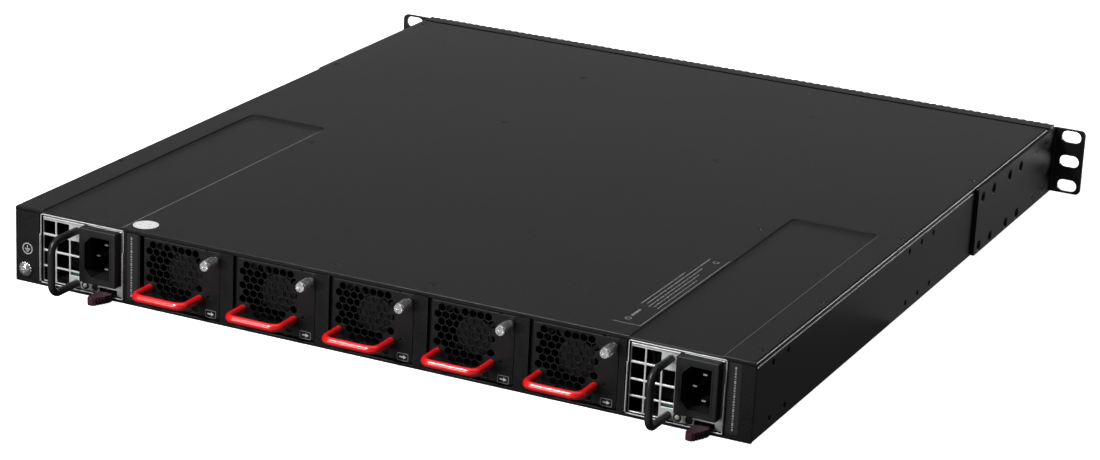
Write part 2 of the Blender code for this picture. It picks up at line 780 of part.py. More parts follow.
def supply_inlet():
    """A three-blade mains inlet, its flange standing proud of the case's face."""
    (left, right), (bottom, top) = INLET_FLANGE
    flange = box((left, SUPPLY_FACE + GAP, bottom), (right, INLET_PROUD, top))
    (left, right), (bottom, top) = INLET_BODY
    body = box((left, -INLET_DEPTH, bottom), (right, INLET_PROUD / 2, top))
    mouth = prism(inlet_mouth(), "y", -INLET_DEPTH + 0.003, BEYOND)
    (left, right), (bottom, top) = INLET_MOUTH
    middle = ((left + right) / 2, (bottom + top) / 2)
    wide, thin = BLADE_SIZE
    blades = [
        box(
            (middle[0] + x - wide / 2, -INLET_DEPTH + 0.001, middle[1] + z - thin / 2),
            (middle[0] + x + wide / 2, BLADE_TIP, middle[1] + z + thin / 2),
        )
        for x, z in BLADE_PLACES
    ]
    return united(cut(united(flange, body), mouth), joined(blades))


def supply_handle():
    path = bail_path(*BAIL_ENDS, SUPPLY_FACE + GAP, BAIL_REACH, BAIL_CORNER)
    return rod([(0.0, y, z) for z, y in path], (1, 0, 0), BAIL_RADIUS, 8)


def supply_latch():
    """A flat lever that turns on a boss inside the case and ends in a finger tab outside, about its pivot."""
    pivot_x, pivot_y = LATCH_PIVOT
    (left, right), (near, far), (low, high) = LATCH_TAB
    tab = box((left - pivot_x, near - pivot_y, low), (right - pivot_x, far - pivot_y, high))
    bottom, top = LATCH_LEVER
    reach = near - pivot_y + 0.002
    lever = box((left - pivot_x + 0.001, 0.0, bottom), (right - pivot_x - 0.001, reach, top))
    boss = prism(circle(0.0038, COARSE), "z", bottom, top + 0.001)
    return united(lever, tab, boss)


def lamp_lens():
    """A short round light guide with a domed end, about the Y axis."""
    dome = ((LED_RADIUS * 0.7, 0.0008), (LED_RADIUS * 0.3, 0.0010))
    return turned(((LED_RADIUS, -0.004), (LED_RADIUS, 0.0), *dome), COARSE)


def build_supplies(finish):
    case = supply_case()
    inlet = supply_inlet()
    handle = supply_handle()
    latch = supply_latch()
    lens = lamp_lens()
    housing = fan_housing(SUPPLY_FAN_SIZE, FAN_DEPTH)
    rotor = fan_rotor(SUPPLY_FAN_SIZE / FAN_SIZE)
    for side, sign in (("left", 1), ("right", -1)):
        name = f"supply_{side}"
        module = empty(f"{name}_module", (sign * SUPPLY_X, REAR, 0.0))
        add(f"{name}_case", case, finish["zinc"], parent=module)
        add(f"{name}_inlet", inlet, finish["black"], parent=module)
        add(f"{name}_handle", handle, finish["wire"], (BAIL_X, 0, 0), module, smooth=True)
        add(f"{name}_latch", latch, finish["latch"], (*LATCH_PIVOT, 0), module)
        lens_place = (LED_PLACE[0], SUPPLY_FACE, LED_PLACE[1])
        add(f"{name}_lens", lens, finish["lens"], lens_place, module, smooth=True)
        fan_place = (0, SUPPLY_FAN_Y, SUPPLY_FAN_Z)
        add(f"{name}_fan_housing", housing, finish["rotor"], fan_place, module)
        rotor_place = (0, SUPPLY_FAN_Y - 0.005, SUPPLY_FAN_Z)
        add(f"{name}_fan_rotor", rotor, finish["rotor"], rotor_place, module, smooth=True)


def main():
    for old in list(bpy.data.objects):
        bpy.data.objects.remove(old)
    finish = make_materials()
    build_chassis(finish)
    build_boards(finish)
    build_fan_modules(finish)
    build_supplies(finish)


main()
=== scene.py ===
"""The looks of a 1U rackmount network switch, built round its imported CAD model.

Lengths are millimetres in the CAD model's frame, and a mesh is scaled to metres when it becomes a piece. The
origin is the middle of the underside, +Y points to the rear, where the fans and power supplies are, and +Z is
up. Left and right are as seen from the rear, so left is +X.
"""

from itertools import cycle
from math import atan2, copysign, cos, pi, radians, sin, sqrt, tan

import bmesh
import bpy
from mathutils import Matrix, Vector


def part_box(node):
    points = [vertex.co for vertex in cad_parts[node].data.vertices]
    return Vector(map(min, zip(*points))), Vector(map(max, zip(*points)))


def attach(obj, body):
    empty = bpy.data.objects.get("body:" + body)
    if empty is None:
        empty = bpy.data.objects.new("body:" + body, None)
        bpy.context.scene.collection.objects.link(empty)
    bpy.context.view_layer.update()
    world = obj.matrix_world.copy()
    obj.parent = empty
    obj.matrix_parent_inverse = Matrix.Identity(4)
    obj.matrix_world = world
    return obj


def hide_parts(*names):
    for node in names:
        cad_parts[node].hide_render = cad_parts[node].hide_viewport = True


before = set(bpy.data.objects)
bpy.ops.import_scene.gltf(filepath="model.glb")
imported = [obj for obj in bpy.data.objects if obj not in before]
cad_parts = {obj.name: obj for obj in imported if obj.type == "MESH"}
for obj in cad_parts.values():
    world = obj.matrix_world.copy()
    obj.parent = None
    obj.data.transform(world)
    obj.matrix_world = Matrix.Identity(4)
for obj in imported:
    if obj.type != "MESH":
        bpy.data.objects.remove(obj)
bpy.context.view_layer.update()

MM = 0.001


def span(node):
    """The lowest and highest corner of a CAD node, in millimetres."""
    low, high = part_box(node)
    return low / MM, high / MM


def middle_x(node):
    low, high = span(node)
    return (low.x + high.x) / 2


# ---- places, from the CAD model

BASE_LOW, BASE_HIGH = span("chassis_base")
COVER_LOW, COVER_HIGH = span("top_cover")
SIDE = BASE_HIGH.x
REAR = BASE_HIGH.y
FRONT = span("front_panel")[0].y
TOP = COVER_HIGH.z
SHEET = 1.2
FAN_X = [middle_x(f"fan_{i}_tray") for i in range(1, 6)]
PORT_CAGES = [f"port_cage_{i}" for i in range(1, 5)]
SUPPLY_X = {s: middle_x(f"supply_{s}_case") for s in ("left", "right")}


# ---- outlines


def rectangle(low, high):
    return [(low[0], low[1]), (high[0], low[1]), (high[0], high[1]), (low[0], high[1])]


def circle(radius, sides, centre=(0.0, 0.0), turn=0.0):
    angles = [turn + 2 * pi * i / sides for i in range(sides)]
    return [(centre[0] + radius * cos(a), centre[1] + radius * sin(a)) for a in angles]


def arc(centre, radius, start, end, steps):
    angles = [start + (end - start) * i / steps for i in range(steps + 1)]
    return [(centre[0] + radius * cos(a), centre[1] + radius * sin(a)) for a in angles]


def rounded(low, high, radius, steps=4):
    """A rectangle with round corners."""
    left, right, bottom, top = low[0] + radius, high[0] - radius, low[1] + radius, high[1] - radius
    quarter = pi / 2
    outline = []
    for i, centre in enumerate(((right, top), (left, top), (left, bottom), (right, bottom))):
        outline += arc(centre, radius, i * quarter, (i + 1) * quarter, steps)
    return outline


def chamfered(low, high, corner):
    """A rectangle with its two high corners on the first axis cut off."""
    (x0, z0), (x1, z1) = low, high
    return [(x0, z0), (x1 - corner, z0), (x1, z0 + corner), (x1, z1 - corner), (x1 - corner, z1), (x0, z1)]


def obround(centre, length, height):
    radius = height / 2
    reach = length / 2 - radius
    right = arc((centre[0] + reach, centre[1]), radius, -pi / 2, pi / 2, 10)
    return right + arc((centre[0] - reach, centre[1]), radius, pi / 2, 3 * pi / 2, 10)


def bent_strip(path, thickness, radius, steps=6):
    """The outline of a sheet bent along a path. The radius is that of its middle line at each corner."""
    sides = {1: [], -1: []}
    points = [Vector(p) for p in path]
    for i, point in enumerate(points):
        before = (point - points[i - 1]).normalized() if i else None
        after = (points[i + 1] - point).normalized() if i + 1 < len(points) else None
        if before is None or after is None:
            along = before or after
            normal = Vector((-along.y, along.x))
            for side, line in sides.items():
                line.append(point + normal * side * thickness / 2)
            continue
        turn = atan2(before.x * after.y - before.y * after.x, before.dot(after))
        sign = copysign(1.0, turn)
        normal = Vector((-before.y, before.x))
        centre = point - before * radius * tan(abs(turn) / 2) + normal * sign * radius
        for step in range(steps + 1):
            swing = Matrix.Rotation(turn * step / steps, 2)
            for side, line in sides.items():
                line.append(centre + swing @ (-normal * sign) * (radius - side * sign * thickness / 2))
    return [tuple(p) for p in sides[1] + sides[-1][::-1]]


# ---- solids, as meshes in millimetres


def linked(name, data):
    obj = bpy.data.objects.new(name, data)
    bpy.context.scene.collection.objects.link(obj)
    return obj


def as_mesh(shape):
    mesh = bpy.data.meshes.new("shape")
    shape.to_mesh(mesh)
    shape.free()
    return mesh


def finished(shape):
    bmesh.ops.recalc_face_normals(shape, faces=shape.faces)
    return as_mesh(shape)


def ringed(rings, lid=True):
    """A skin over rings of equally many points, closed at the first ring and, with a lid, at the last."""
    shape = bmesh.new()
    rows = [[shape.verts.new(point) for point in ring] for ring in rings]
    count = len(rows[0])
    for first, second in zip(rows, rows[1:]):
        for i in range(count):
            j = (i + 1) % count
            shape.faces.new((first[i], first[j], second[j], second[i]))
    shape.faces.new(rows[0])
    if lid:
        shape.faces.new(rows[-1])
    return finished(shape)


def placed(point, along, axis):
    """A point in space from a place along the axis and the other two numbers, in X, Y, Z order."""
    place = [0.0, 0.0, 0.0]
    for slot, value in zip({"x": (1, 2, 0), "y": (0, 2, 1), "z": (0, 1, 2)}[axis], (*point, along)):
        place[slot] = value
    return place


def prism(outline, axis, low, high):
    return ringed([[placed(point, along, axis) for point in outline] for along in (low, high)])


def box(low, high):
    return prism(rectangle(low[:2], high[:2]), "z", low[2], high[2])


def turned(profile, sides, axis="y"):
    """A solid turned about an axis. The profile runs from end to end as (radius, place along the axis)."""
    return ringed([[placed(p, along, axis) for p in circle(radius, sides)] for radius, along in profile])


def rod(path, normal, radius, sides=20):
    """A round rod along a path that lies in the plane with this normal."""
    normal = Vector(normal)
    points = [Vector(p) for p in path]
    rings = []
    for i, point in enumerate(points):
        ahead = points[min(i + 1, len(points) - 1)] - points[max(i - 1, 0)]
        across = ahead.normalized().cross(normal)
        rings.append([point + across * u + normal * v for u, v in circle(radius, sides)])
    return ringed(rings)


def plate(outer, holes, axis, low, high, edge=0.15, rounds=1):
    """A flat plate with holes and rounded edges, its outlines in the plane across the axis."""
    curve = bpy.data.curves.new("outline", "CURVE")
    curve.dimensions = "2D"
    curve.fill_mode = "BOTH"
    curve.extrude = max((high - low) / 2 - edge, 0.0)
    curve.bevel_depth = edge
    curve.bevel_resolution = rounds
    curve.offset = -edge
    for outline in [outer, *holes]:
        spline = curve.splines.new("POLY")
        spline.points.add(len(outline) - 1)
        for point, (u, v) in zip(spline.points, outline):
            point.co = (u, v, 0.0, 1.0)
        spline.use_cyclic_u = True
    carrier = linked("outline", curve)
    mesh = bpy.data.meshes.new_from_object(carrier.evaluated_get(bpy.context.evaluated_depsgraph_get()))
    bpy.data.objects.remove(carrier)
    bpy.data.curves.remove(curve)
    turn = {
        "x": Matrix(((0, 0, 1), (1, 0, 0), (0, 1, 0))),
        "y": Matrix(((1, 0, 0), (0, 0, -1), (0, 1, 0))),
        "z": Matrix.Identity(3),
    }[axis].to_4x4()
    mesh.transform(Matrix.Translation(placed((0, 0), (low + high) / 2, axis)) @ turn)
    shape = bmesh.new()
    shape.from_mesh(mesh)
    bmesh.ops.remove_doubles(shape, verts=shape.verts, dist=0.002)
    return finished(shape)


def moved(mesh, shift=(0, 0, 0), turn=None):
    copy = mesh.copy()
    matrix = Matrix.Translation(shift)
    copy.transform(matrix @ turn if turn is not None else matrix)
    return copy


def mirrored(mesh):
    """The mesh reflected in the plane x = 0."""
    copy = mesh.copy()
    copy.transform(Matrix.Scale(-1, 4, (1, 0, 0)))
    copy.flip_normals()
    return copy


def joined(*meshes):
    shape = bmesh.new()
    for mesh in meshes:
        shape.from_mesh(mesh)
    return as_mesh(shape)


def combined(mesh, others, operation):
    """The mesh after a Boolean with each of the others in turn."""
    subject = linked("subject", mesh)
    helpers = [subject]
    for other in others:
        tool = linked("tool", other)
        modifier = subject.modifiers.new("combine", "BOOLEAN")
        modifier.operation = operation
        modifier.object = tool
        helpers.append(tool)
    graph = bpy.context.evaluated_depsgraph_get()
    result = bpy.data.meshes.new_from_object(subject.evaluated_get(graph))
    for helper in helpers:
        bpy.data.objects.remove(helper)
    return result


def cut(mesh, *cutters):
    return combined(mesh, cutters, "DIFFERENCE")


def united(mesh, *others):
    return combined(mesh, others, "UNION")


def bevelled(mesh, width, segments=2, angle=50, where=None):
    """The mesh with its sharp edges rounded. Where, if given, picks them by the edge's two ends."""
    shape = bmesh.new()
    shape.from_mesh(mesh)
    edges = [e for e in shape.edges if len(e.link_faces) == 2 and e.calc_face_angle() > radians(angle)]
    edges = [e for e in edges if where is None or where(e.verts[0].co, e.verts[1].co)]
    settings = {"affect": "EDGES", "profile": 0.5, "clamp_overlap": True}
    bmesh.ops.bevel(shape, geom=edges, offset=width, segments=segments, **settings)
    return finished(shape)


# ---- materials


def principled(name, colour, roughness, metallic=0.0, specular=0.5):
    made = bpy.data.materials.new(name)
    made.use_nodes = True
    shader = made.node_tree.nodes["Principled BSDF"]
    shader.inputs["Base Color"].default_value = (*colour, 1.0)
    shader.inputs["Roughness"].default_value = roughness
    shader.inputs["Metallic"].default_value = metallic
    shader.inputs["Specular IOR Level"].default_value = specular
    return made, made.node_tree, shader


def node(tree, kind, **settings):
    made = tree.nodes.new(kind)
    for key, value in settings.items():
        if key in made.inputs:
            made.inputs[key].default_value = value
        else:
            setattr(made, key, value)
    return made


def noise(tree, scale, detail=3.0, stretch=(1, 1, 1)):
    """A noise pattern in the object's own space, with its scale in waves per metre."""
    place = node(tree, "ShaderNodeTexCoord")
    mapping = node(tree, "ShaderNodeMapping")
    mapping.inputs["Scale"].default_value = stretch
    tree.links.new(place.outputs["Object"], mapping.inputs["Vector"])
    made = node(tree, "ShaderNodeTexNoise", Scale=scale, Detail=detail)
    tree.links.new(mapping.outputs["Vector"], made.inputs["Vector"])
    return made.outputs["Fac"]


def ramp(tree, value, low, high, start=0.3, end=0.7):
    """A value or colour between low and high as the input goes from start to end."""
    made = node(tree, "ShaderNodeMapRange") if isinstance(low, float) else node(tree, "ShaderNodeValToRGB")
    if isinstance(low, float):
        for key, number in (("From Min", start), ("From Max", end), ("To Min", low), ("To Max", high)):
            made.inputs[key].default_value = number
        tree.links.new(value, made.inputs["Value"])
        return made.outputs["Result"]
    made.color_ramp.elements[0].position = start
    made.color_ramp.elements[0].color = (*low, 1.0)
    made.color_ramp.elements[1].position = end
    made.color_ramp.elements[1].color = (*high, 1.0)
    tree.links.new(value, made.inputs["Fac"])
    return made.outputs["Color"]


def bump(tree, shader, heights, depths):
    """Bumps of the given heights' depths in metres, one on the other."""
    normal = None
    for height, depth in zip(heights, depths):
        made = node(tree, "ShaderNodeBump", Distance=depth, Strength=1.0)
        tree.links.new(height, made.inputs["Height"])
        if normal is not None:
            tree.links.new(normal, made.inputs["Normal"])
        normal = made.outputs["Normal"]
    tree.links.new(normal, shader.inputs["Normal"])


def clouded(name, dark, light, roughness, fine, clouds, **settings):
    """A material whose colour follows slow clouds and whose roughness follows a fine pattern."""
    made, tree, shader = principled(name, light, roughness[0], **settings)
    fine, clouds = noise(tree, *fine), noise(tree, *clouds)
    tree.links.new(ramp(tree, clouds, dark, light), shader.inputs["Base Color"])
    tree.links.new(ramp(tree, fine, *roughness), shader.inputs["Roughness"])
    return made, tree, shader, fine


def powder_coat(name, dark, light, roughness, grain, depth, specular):
    """Sprayed and baked paint: a fine grain, a slower orange peel and faint clouds of colour and gloss."""
    patterns = ((grain, 4.0), (22.0, 3.0))
    made, tree, shader, fine = clouded(name, dark, light, roughness, *patterns, specular=specular)
    bump(tree, shader, (noise(tree, 420.0, 2.0), fine), (depth * 0.6, depth))
    return made


def plated(name, dark, light, roughness, stretch, metallic=1.0):
    """Plated or drawn metal: fine lines along one axis and a cloudy bloom."""
    patterns = ((900.0, 3.0, stretch), (120.0, 4.0))
    made, tree, shader, lines = clouded(name, dark, light, roughness, *patterns, metallic=metallic)
    bump(tree, shader, (lines,), (0.00001,))
    return made


def moulded(name, dark, light, roughness, grain, depth, specular=0.4):
    """Moulded plastic, or a skin like it, with a fine grain."""
    patterns = ((grain, 3.0), (60.0, 2.0))
    made, tree, shader, fine = clouded(name, dark, light, roughness, *patterns, specular=specular)
    bump(tree, shader, (fine,), (depth,))
    return made


def coated_red():
    """Dipped gloss coating: deep colour under a clear skin with a slow wave."""
    made, tree, shader = principled("handle_coating", (0.78, 0.006, 0.010), 0.3, specular=0.5)
    slow = noise(tree, 260.0, 2.0)
    tree.links.new(ramp(tree, slow, (0.74, 0.004, 0.008), (0.86, 0.009, 0.013)), shader.inputs["Base Color"])
    shader.inputs["Coat Weight"].default_value = 0.9
    shader.inputs["Coat Roughness"].default_value = 0.16
    bump(tree, shader, (slow, noise(tree, 1500.0)), (0.00004, 0.000008))
    return made


def printed(name, colour, roughness=0.5):
    """Ink, slightly uneven where the paint's grain shows."""
    made, tree, shader = principled(name, colour, roughness)
    fine = noise(tree, 1800.0, 3.0)
    worn = tuple(c * 0.72 for c in colour)
    tree.links.new(ramp(tree, fine, worn, colour, 0.35, 0.5), shader.inputs["Base Color"])
    bump(tree, shader, (fine,), (0.00002,))
    return made


def board_green():
    made, tree, shader = principled("solder_mask", (0.012, 0.12, 0.05), 0.35)
    clouds = noise(tree, 300.0, 2.0)
    colour = ramp(tree, clouds, (0.008, 0.085, 0.035), (0.018, 0.16, 0.07))
    tree.links.new(colour, shader.inputs["Base Color"])
    tracks = node(tree, "ShaderNodeTexVoronoi", Scale=420.0, feature="DISTANCE_TO_EDGE", distance="MANHATTAN")
    place = node(tree, "ShaderNodeTexCoord")
    tree.links.new(place.outputs["Object"], tracks.inputs["Vector"])
    bump(tree, shader, (tracks.outputs["Distance"],), (0.00004,))
    return made


finish = {
    "cover": powder_coat(
        "cover_coat", (0.0095, 0.0088, 0.009), (0.0115, 0.0106, 0.0108), (0.27, 0.32), 2600.0, 0.00001, 0.25
    ),
    "rear": powder_coat(
        "rear_coat", (0.003, 0.003, 0.0033), (0.006, 0.006, 0.0066), (0.3, 0.5), 1500.0, 0.00016, 0.26
    ),
    "side": powder_coat(
        "side_coat", (0.007, 0.0065, 0.006), (0.009, 0.0082, 0.0078), (0.36, 0.46), 2400.0, 0.00002, 0.26
    ),
    "handle": coated_red(),
    "board": board_green(),
    "ink": printed("ink_light", (0.55, 0.55, 0.56)),
    # grey ink for print, also used for the painted highlight along the left pocket's inner edge
    "grey_ink_and_painted_highlight": printed("grey_ink_and_painted_highlight", (0.30, 0.30, 0.30)),
    "paper": printed("sticker_paper", (0.82, 0.82, 0.80), 0.6),
}
for key, *settings in (
    ("zinc", "zinc_plate", (0.70, 0.71, 0.72), (0.84, 0.85, 0.86), (0.26, 0.4), (0.12, 1, 1), 0.5),
    ("zinc_inside", "zinc_inside", (0.45, 0.46, 0.48), (0.6, 0.61, 0.63), (0.3, 0.45), (1, 0.1, 1)),
    ("nickel", "nickel_plate", (0.86, 0.87, 0.89), (0.95, 0.95, 0.96), (0.12, 0.2), (1, 1, 1), 0.85),
    ("contact", "contact_plate", (0.80, 0.80, 0.81), (0.90, 0.90, 0.91), (0.16, 0.26), (1, 1, 1)),
    ("aluminium", "extruded_aluminium", (0.52, 0.53, 0.54), (0.66, 0.67, 0.68), (0.3, 0.42), (1, 0.05, 1)),
):
    finish[key] = plated(*settings)
for key, *settings in (
    ("latch", "latch_plastic", (0.040, 0.013, 0.022), (0.050, 0.017, 0.027), (0.38, 0.5), 1800.0, 0.00003),
    ("black", "inlet_plastic", (0.005, 0.005, 0.0055), (0.008, 0.008, 0.009), (0.45, 0.62), 1900.0, 0.00006),
    ("wire", "handle_black", (0.009, 0.009, 0.010), (0.012, 0.012, 0.013), (0.32, 0.42), 1200.0, 0.00003),
    ("fan", "fan_plastic", (0.003, 0.003, 0.0033), (0.0045, 0.0045, 0.005), (0.36, 0.48), 1500.0, 0.00002),
    ("screw", "black_oxide", (0.012, 0.012, 0.012), (0.03, 0.03, 0.03), (0.3, 0.45), 2200.0, 0.00002),
    ("chip", "chip_resin", (0.022, 0.022, 0.025), (0.03, 0.03, 0.033), (0.5, 0.6), 2500.0, 0.00002),
    ("lens", "lamp_lens_resin", (0.42, 0.41, 0.34), (0.5, 0.48, 0.4), (0.15, 0.25), 600.0, 0.00001),
    ("label", "label_film", (0.009, 0.009, 0.010), (0.012, 0.012, 0.013), (0.5, 0.6), 3000.0, 0.00003),
    # painted shade for the sheet inside each supply case's rear end
    ("dark", "dark_inside", (0.004, 0.004, 0.004), (0.006, 0.006, 0.006), (0.6, 0.8), 900.0, 0.00002, 0.2),
):
    finish[key] = moulded(*settings)


# ---- pieces


def piece(name, mesh, look, body="root", place=(0, 0, 0), stands_for=()):
    """An object in the scene from a mesh in millimetres, riding on a CAD body."""
    if not mesh.get("scaled"):
        mesh.transform(Matrix.Scale(MM, 4))
        mesh["scaled"] = True
        mesh.materials.clear()
        mesh.materials.append(finish[look])
        mesh.shade_smooth()
        mesh.set_sharp_from_angle(angle=radians(35))
        mesh.name = name
    obj = linked(name, mesh)
    obj.location = Vector(place) * MM
    weighted = obj.modifiers.new("even_shading", "WEIGHTED_NORMAL")
    weighted.keep_sharp = True
    weighted.weight = 100
    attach(obj, body)
    if stands_for:
        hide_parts(*stands_for)


def recess(radius):
    """A cutter for a cross recess in a screw head that faces +Z, its top at z = 0."""
    arms = []
    for turn in (0, pi / 2):
        wide, thin, deep = radius * 0.62, radius * 0.14, radius * 0.55
        rings = []
        for z, grow in ((-deep, 0.45), (0.01, 1.0)):
            rings.append([(x * grow, y, z) for x, y in rectangle((-wide, -thin), (wide, thin))])
        arms.append(moved(ringed(rings), turn=Matrix.Rotation(turn, 4, "Z")))
    return united(arms[0], arms[1])


def flat_screw(radius, depth):
    """A countersunk screw head that faces +Z, flush with z = 0."""
    profile = ((0.5, -1.0), (0.96, -0.12), (1.0, -0.06), (0.97, 0.0))
    return cut(turned([(radius * r, depth * z) for r, z in profile], 24, "z"), recess(radius))


FACING = {
    "+z": Matrix.Identity(4),
    "+y": Matrix.Rotation(-pi / 2, 4, "X"),
    "+x": Matrix.Rotation(pi / 2, 4, "Y"),
    "-x": Matrix.Rotation(-pi / 2, 4, "Y"),
}


def scattered(mesh, places, facing):
    """Copies of a mesh that faces +Z, turned to face a direction and set at each place."""
    return joined(*[moved(mesh, place, FACING[facing]) for place in places])


def countersink(radius, depth, bore, through):
    """A cutter for a countersunk hole that opens towards +Z at z = 0."""
    return turned(((bore, -through), (bore, -depth), (radius, 0.0), (radius * 1.02, 0.4)), 20, "z")


# ---- cover

LIP_RADIUS = 0.7
COVER_START = COVER_LOW.y + 0.9
LIP_LOW = TOP - 2.2
POCKET_DEPTH = 0.6
POCKET_NEAR, POCKET_FAR = 151.0, 202.0
POCKET_LENGTH = 222.0
POCKET_CORNER = 4.5
STEP = 0.55
COVER_SCREWS = [
    (216, 227), (216, 146), (216, 24), (-216, 227), (-216, 146), (-216, 24), (-215, -102), (215, -102),
    (-215, -226), (216, -222), (143.2, 53.3), (-142.4, 52.5), (66.8, -48.7), (-72.7, -50.9), (69.1, -165.5),
    (-87.1, -168.7), (24.9, 233), (-33.1, 232.4),
]


def pocket_path(offset):
    """The left pocket's edge, from the rear round its two front corners, moved out by an offset."""
    front = REAR - POCKET_LENGTH
    radius = POCKET_CORNER + offset
    near = POCKET_NEAR + POCKET_CORNER
    far = POCKET_FAR - POCKET_CORNER
    middle = front + POCKET_CORNER
    first = arc((near, middle), radius, pi, 1.5 * pi, 8)
    last = arc((far, middle), radius, 1.5 * pi, 2 * pi, 8)
    return [(near - radius, REAR)] + first + last + [(far + radius, REAR)]


def cover_sheet():
    """The flat of the cover with its two sunken pockets, as one closed shell."""
    shape = bmesh.new()
    flat = COVER_HIGH.x - 1.2
    front, low = COVER_START, COVER_LOW.z
    steps = [(1.0, 0.0), (0.5, 0.06), (0.15, 0.2), (-0.15, 0.4), (-0.5, 0.54), (-1.0, POCKET_DEPTH)]
    inner = []
    for side in (1, -1):
        rows = []
        for offset, drop in steps:
            rows.append([shape.verts.new((side * x, y, TOP - drop)) for x, y in pocket_path(STEP * offset)])
        for first, second in zip(rows, rows[1:]):
            for i in range(len(first) - 1):
                shape.faces.new((first[i], first[i + 1], second[i + 1], second[i]))
        shape.faces.new(rows[-1])
        inner.append(rows[0])
    corners = ((flat, REAR), (flat, front), (-flat, front), (-flat, REAR))
    corners = [shape.verts.new((x, y, TOP)) for x, y in corners]
    shape.faces.new([*corners, *inner[1][::-1], *inner[0]])
    bmesh.ops.recalc_face_normals(shape, faces=shape.faces)
    if sum(face.normal.z * face.calc_area() for face in shape.faces) < 0:
        bmesh.ops.reverse_faces(shape, faces=shape.faces)
    rim = [edge for edge in shape.edges if edge.is_boundary]
    walls = bmesh.ops.extrude_edge_only(shape, edges=rim)["geom"]
    for vert in (v for v in walls if isinstance(v, bmesh.types.BMVert)):
        vert.co.z = low
    bmesh.ops.contextual_create(shape, geom=[e for e in walls if isinstance(e, bmesh.types.BMEdge)])
    return finished(shape)


def build_cover():
    low = COVER_LOW.z + 0.1
    sheet = bevelled(cover_sheet(), 0.45, 3, 60, lambda a, b: min(a.z, b.z) > low and abs(a.y - b.y) < 0.01)
    hole = countersink(2.9, 1.0, 1.6, 4.0)
    sheet = cut(sheet, joined(*[moved(hole, (x, y, TOP)) for x, y in COVER_SCREWS]))
    end, middle, flat = COVER_HIGH.x - 1.2, COVER_HIGH.x - 0.6, TOP - 0.6
    fold = bent_strip([(end, flat), (middle, flat), (middle, LIP_LOW)], 1.2, LIP_RADIUS)
    lip = bevelled(prism(fold, "y", COVER_START, REAR), 0.2, 2, 60, lambda a, b: abs(a.y - b.y) < 0.01)
    piece("cover", joined(sheet, lip, mirrored(lip)), "cover", stands_for=["top_cover"])
    screws = scattered(flat_screw(2.7, 1.1), [(x, y, TOP - 0.12) for x, y in COVER_SCREWS], "+z")
    piece("cover_screws", screws, "screw")


def build_pocket_edge():
    """A painted highlight: a thin lighter strip along the left pocket's inner edge, where a glint falls."""
    inner, front = POCKET_NEAR - STEP, REAR - POCKET_LENGTH + 9
    strip = [(inner - 0.3, REAR - 0.3), (inner, REAR - 0.3), (inner, front), (inner - 0.3, front)]
    # painted highlight: a grey strip standing in for the glint on the pocket's step
    piece("pocket_edge", plate(strip, [], "z", TOP - 0.02, TOP + 0.03, 0.01, 0), "grey_ink_and_painted_highlight")


# ---- base, rear wall and what is on them

SIDE_TOP = TOP - 2.55
SIDE_HOLES = [(222.3, 36.6), (201.8, 36.6), (222.3, 6.5), (201.8, 6.5)]
SIDE_HOLES += [(y, z) for y in (20.9, 0.8, -18.8) for z in (36.5, 6.2)]
FAN_BAY = (-24.1, 26.3)
SUPPLY_BAY = (-28.0, 27.4)
SILL = 1.6
WALL_TOP = BASE_HIGH.z
GROUND_AT = (213.2, 7.8)
EARTH_AT = (212.2, 19.65)
LABELS = ((140.6, 147.4), (-212.3, -205.6))


def base_shell():
    """The base: floor, sides and inward top flanges, bent from one sheet, with holes in its sides."""
    outer = SIDE - SHEET / 2
    top = SIDE_TOP - SHEET / 2
    half = [(outer - 9.0, top), (outer, top), (outer, SHEET / 2)]
    path = half + [(-x, z) for x, z in half[::-1]]
    shell = prism(bent_strip(path, SHEET, 0.9), "y", BASE_LOW.y, REAR - SHEET)
    hole = countersink(1.9, 0.9, 1.2, 3.0)
    cutters = []
    for x, facing in ((SIDE, "+x"), (-SIDE, "-x")):
        cutters.append(scattered(hole, [(x, y, z) for y, z in SIDE_HOLES], facing))
    return cut(shell, joined(*cutters))


def rear_outline():
    """The rear wall's outline: a comb whose gaps are the bays, open at the top."""
    spans = [(x + FAN_BAY[0], x + FAN_BAY[1]) for x in FAN_X]
    spans += [(x + SUPPLY_BAY[0], x + SUPPLY_BAY[1]) for x in SUPPLY_X.values()]
    outline = arc((-SIDE + 0.8, 0.8), 0.8, pi, 1.5 * pi, 3)
    outline += arc((SIDE - 0.8, 0.8), 0.8, -pi / 2, 0, 3) + [(SIDE, WALL_TOP)]
    for low, high in sorted(spans, reverse=True):
        outline += [(high, WALL_TOP), (high, SILL), (low, SILL), (low, WALL_TOP)]
    outline.append((-SIDE, WALL_TOP))
    return outline


def rear_wall():
    """The rear wall with a return fold along each side of the fan bays."""
    shapes = [plate(rear_outline(), [circle(2.4, 16, GROUND_AT)], "y", REAR - SHEET, REAR, 0.3, 2)]
    for x in FAN_X:
        for low, high in ((FAN_BAY[1], FAN_BAY[1] + 1.0), (FAN_BAY[0] - 1.0, FAN_BAY[0])):
            shapes.append(box((x + low, REAR - 9.0, SILL), (x + high, REAR - 0.6, WALL_TOP - 0.2)))
    return joined(*shapes)


def ground_screw():
    """A pan-head screw with a cross recess on a toothed washer, facing +Y."""
    rim = []
    teeth = 14
    for i in range(teeth):
        for share, radius in ((0.0, 3.5), (0.2, 4.1), (0.55, 4.1), (0.75, 3.5)):
            angle = 2 * pi * (i + share) / teeth
            rim.append((radius * cos(angle), radius * sin(angle)))
    washer = plate(rim, [circle(2.1, 24)], "y", 0.12, 0.95, 0.12)
    profile = ((1.9, 0.9), (3.0, 0.95), (3.15, 1.25), (3.05, 1.8), (2.5, 2.3), (1.6, 2.55), (0.4, 2.62))
    head = cut(turned(profile, 32), moved(recess(3.0), (0, 2.63, 0), FACING["+y"]))
    shank = turned(((1.9, -8.0), (1.9, 1.0)), 16)
    return joined(head, washer, shank)


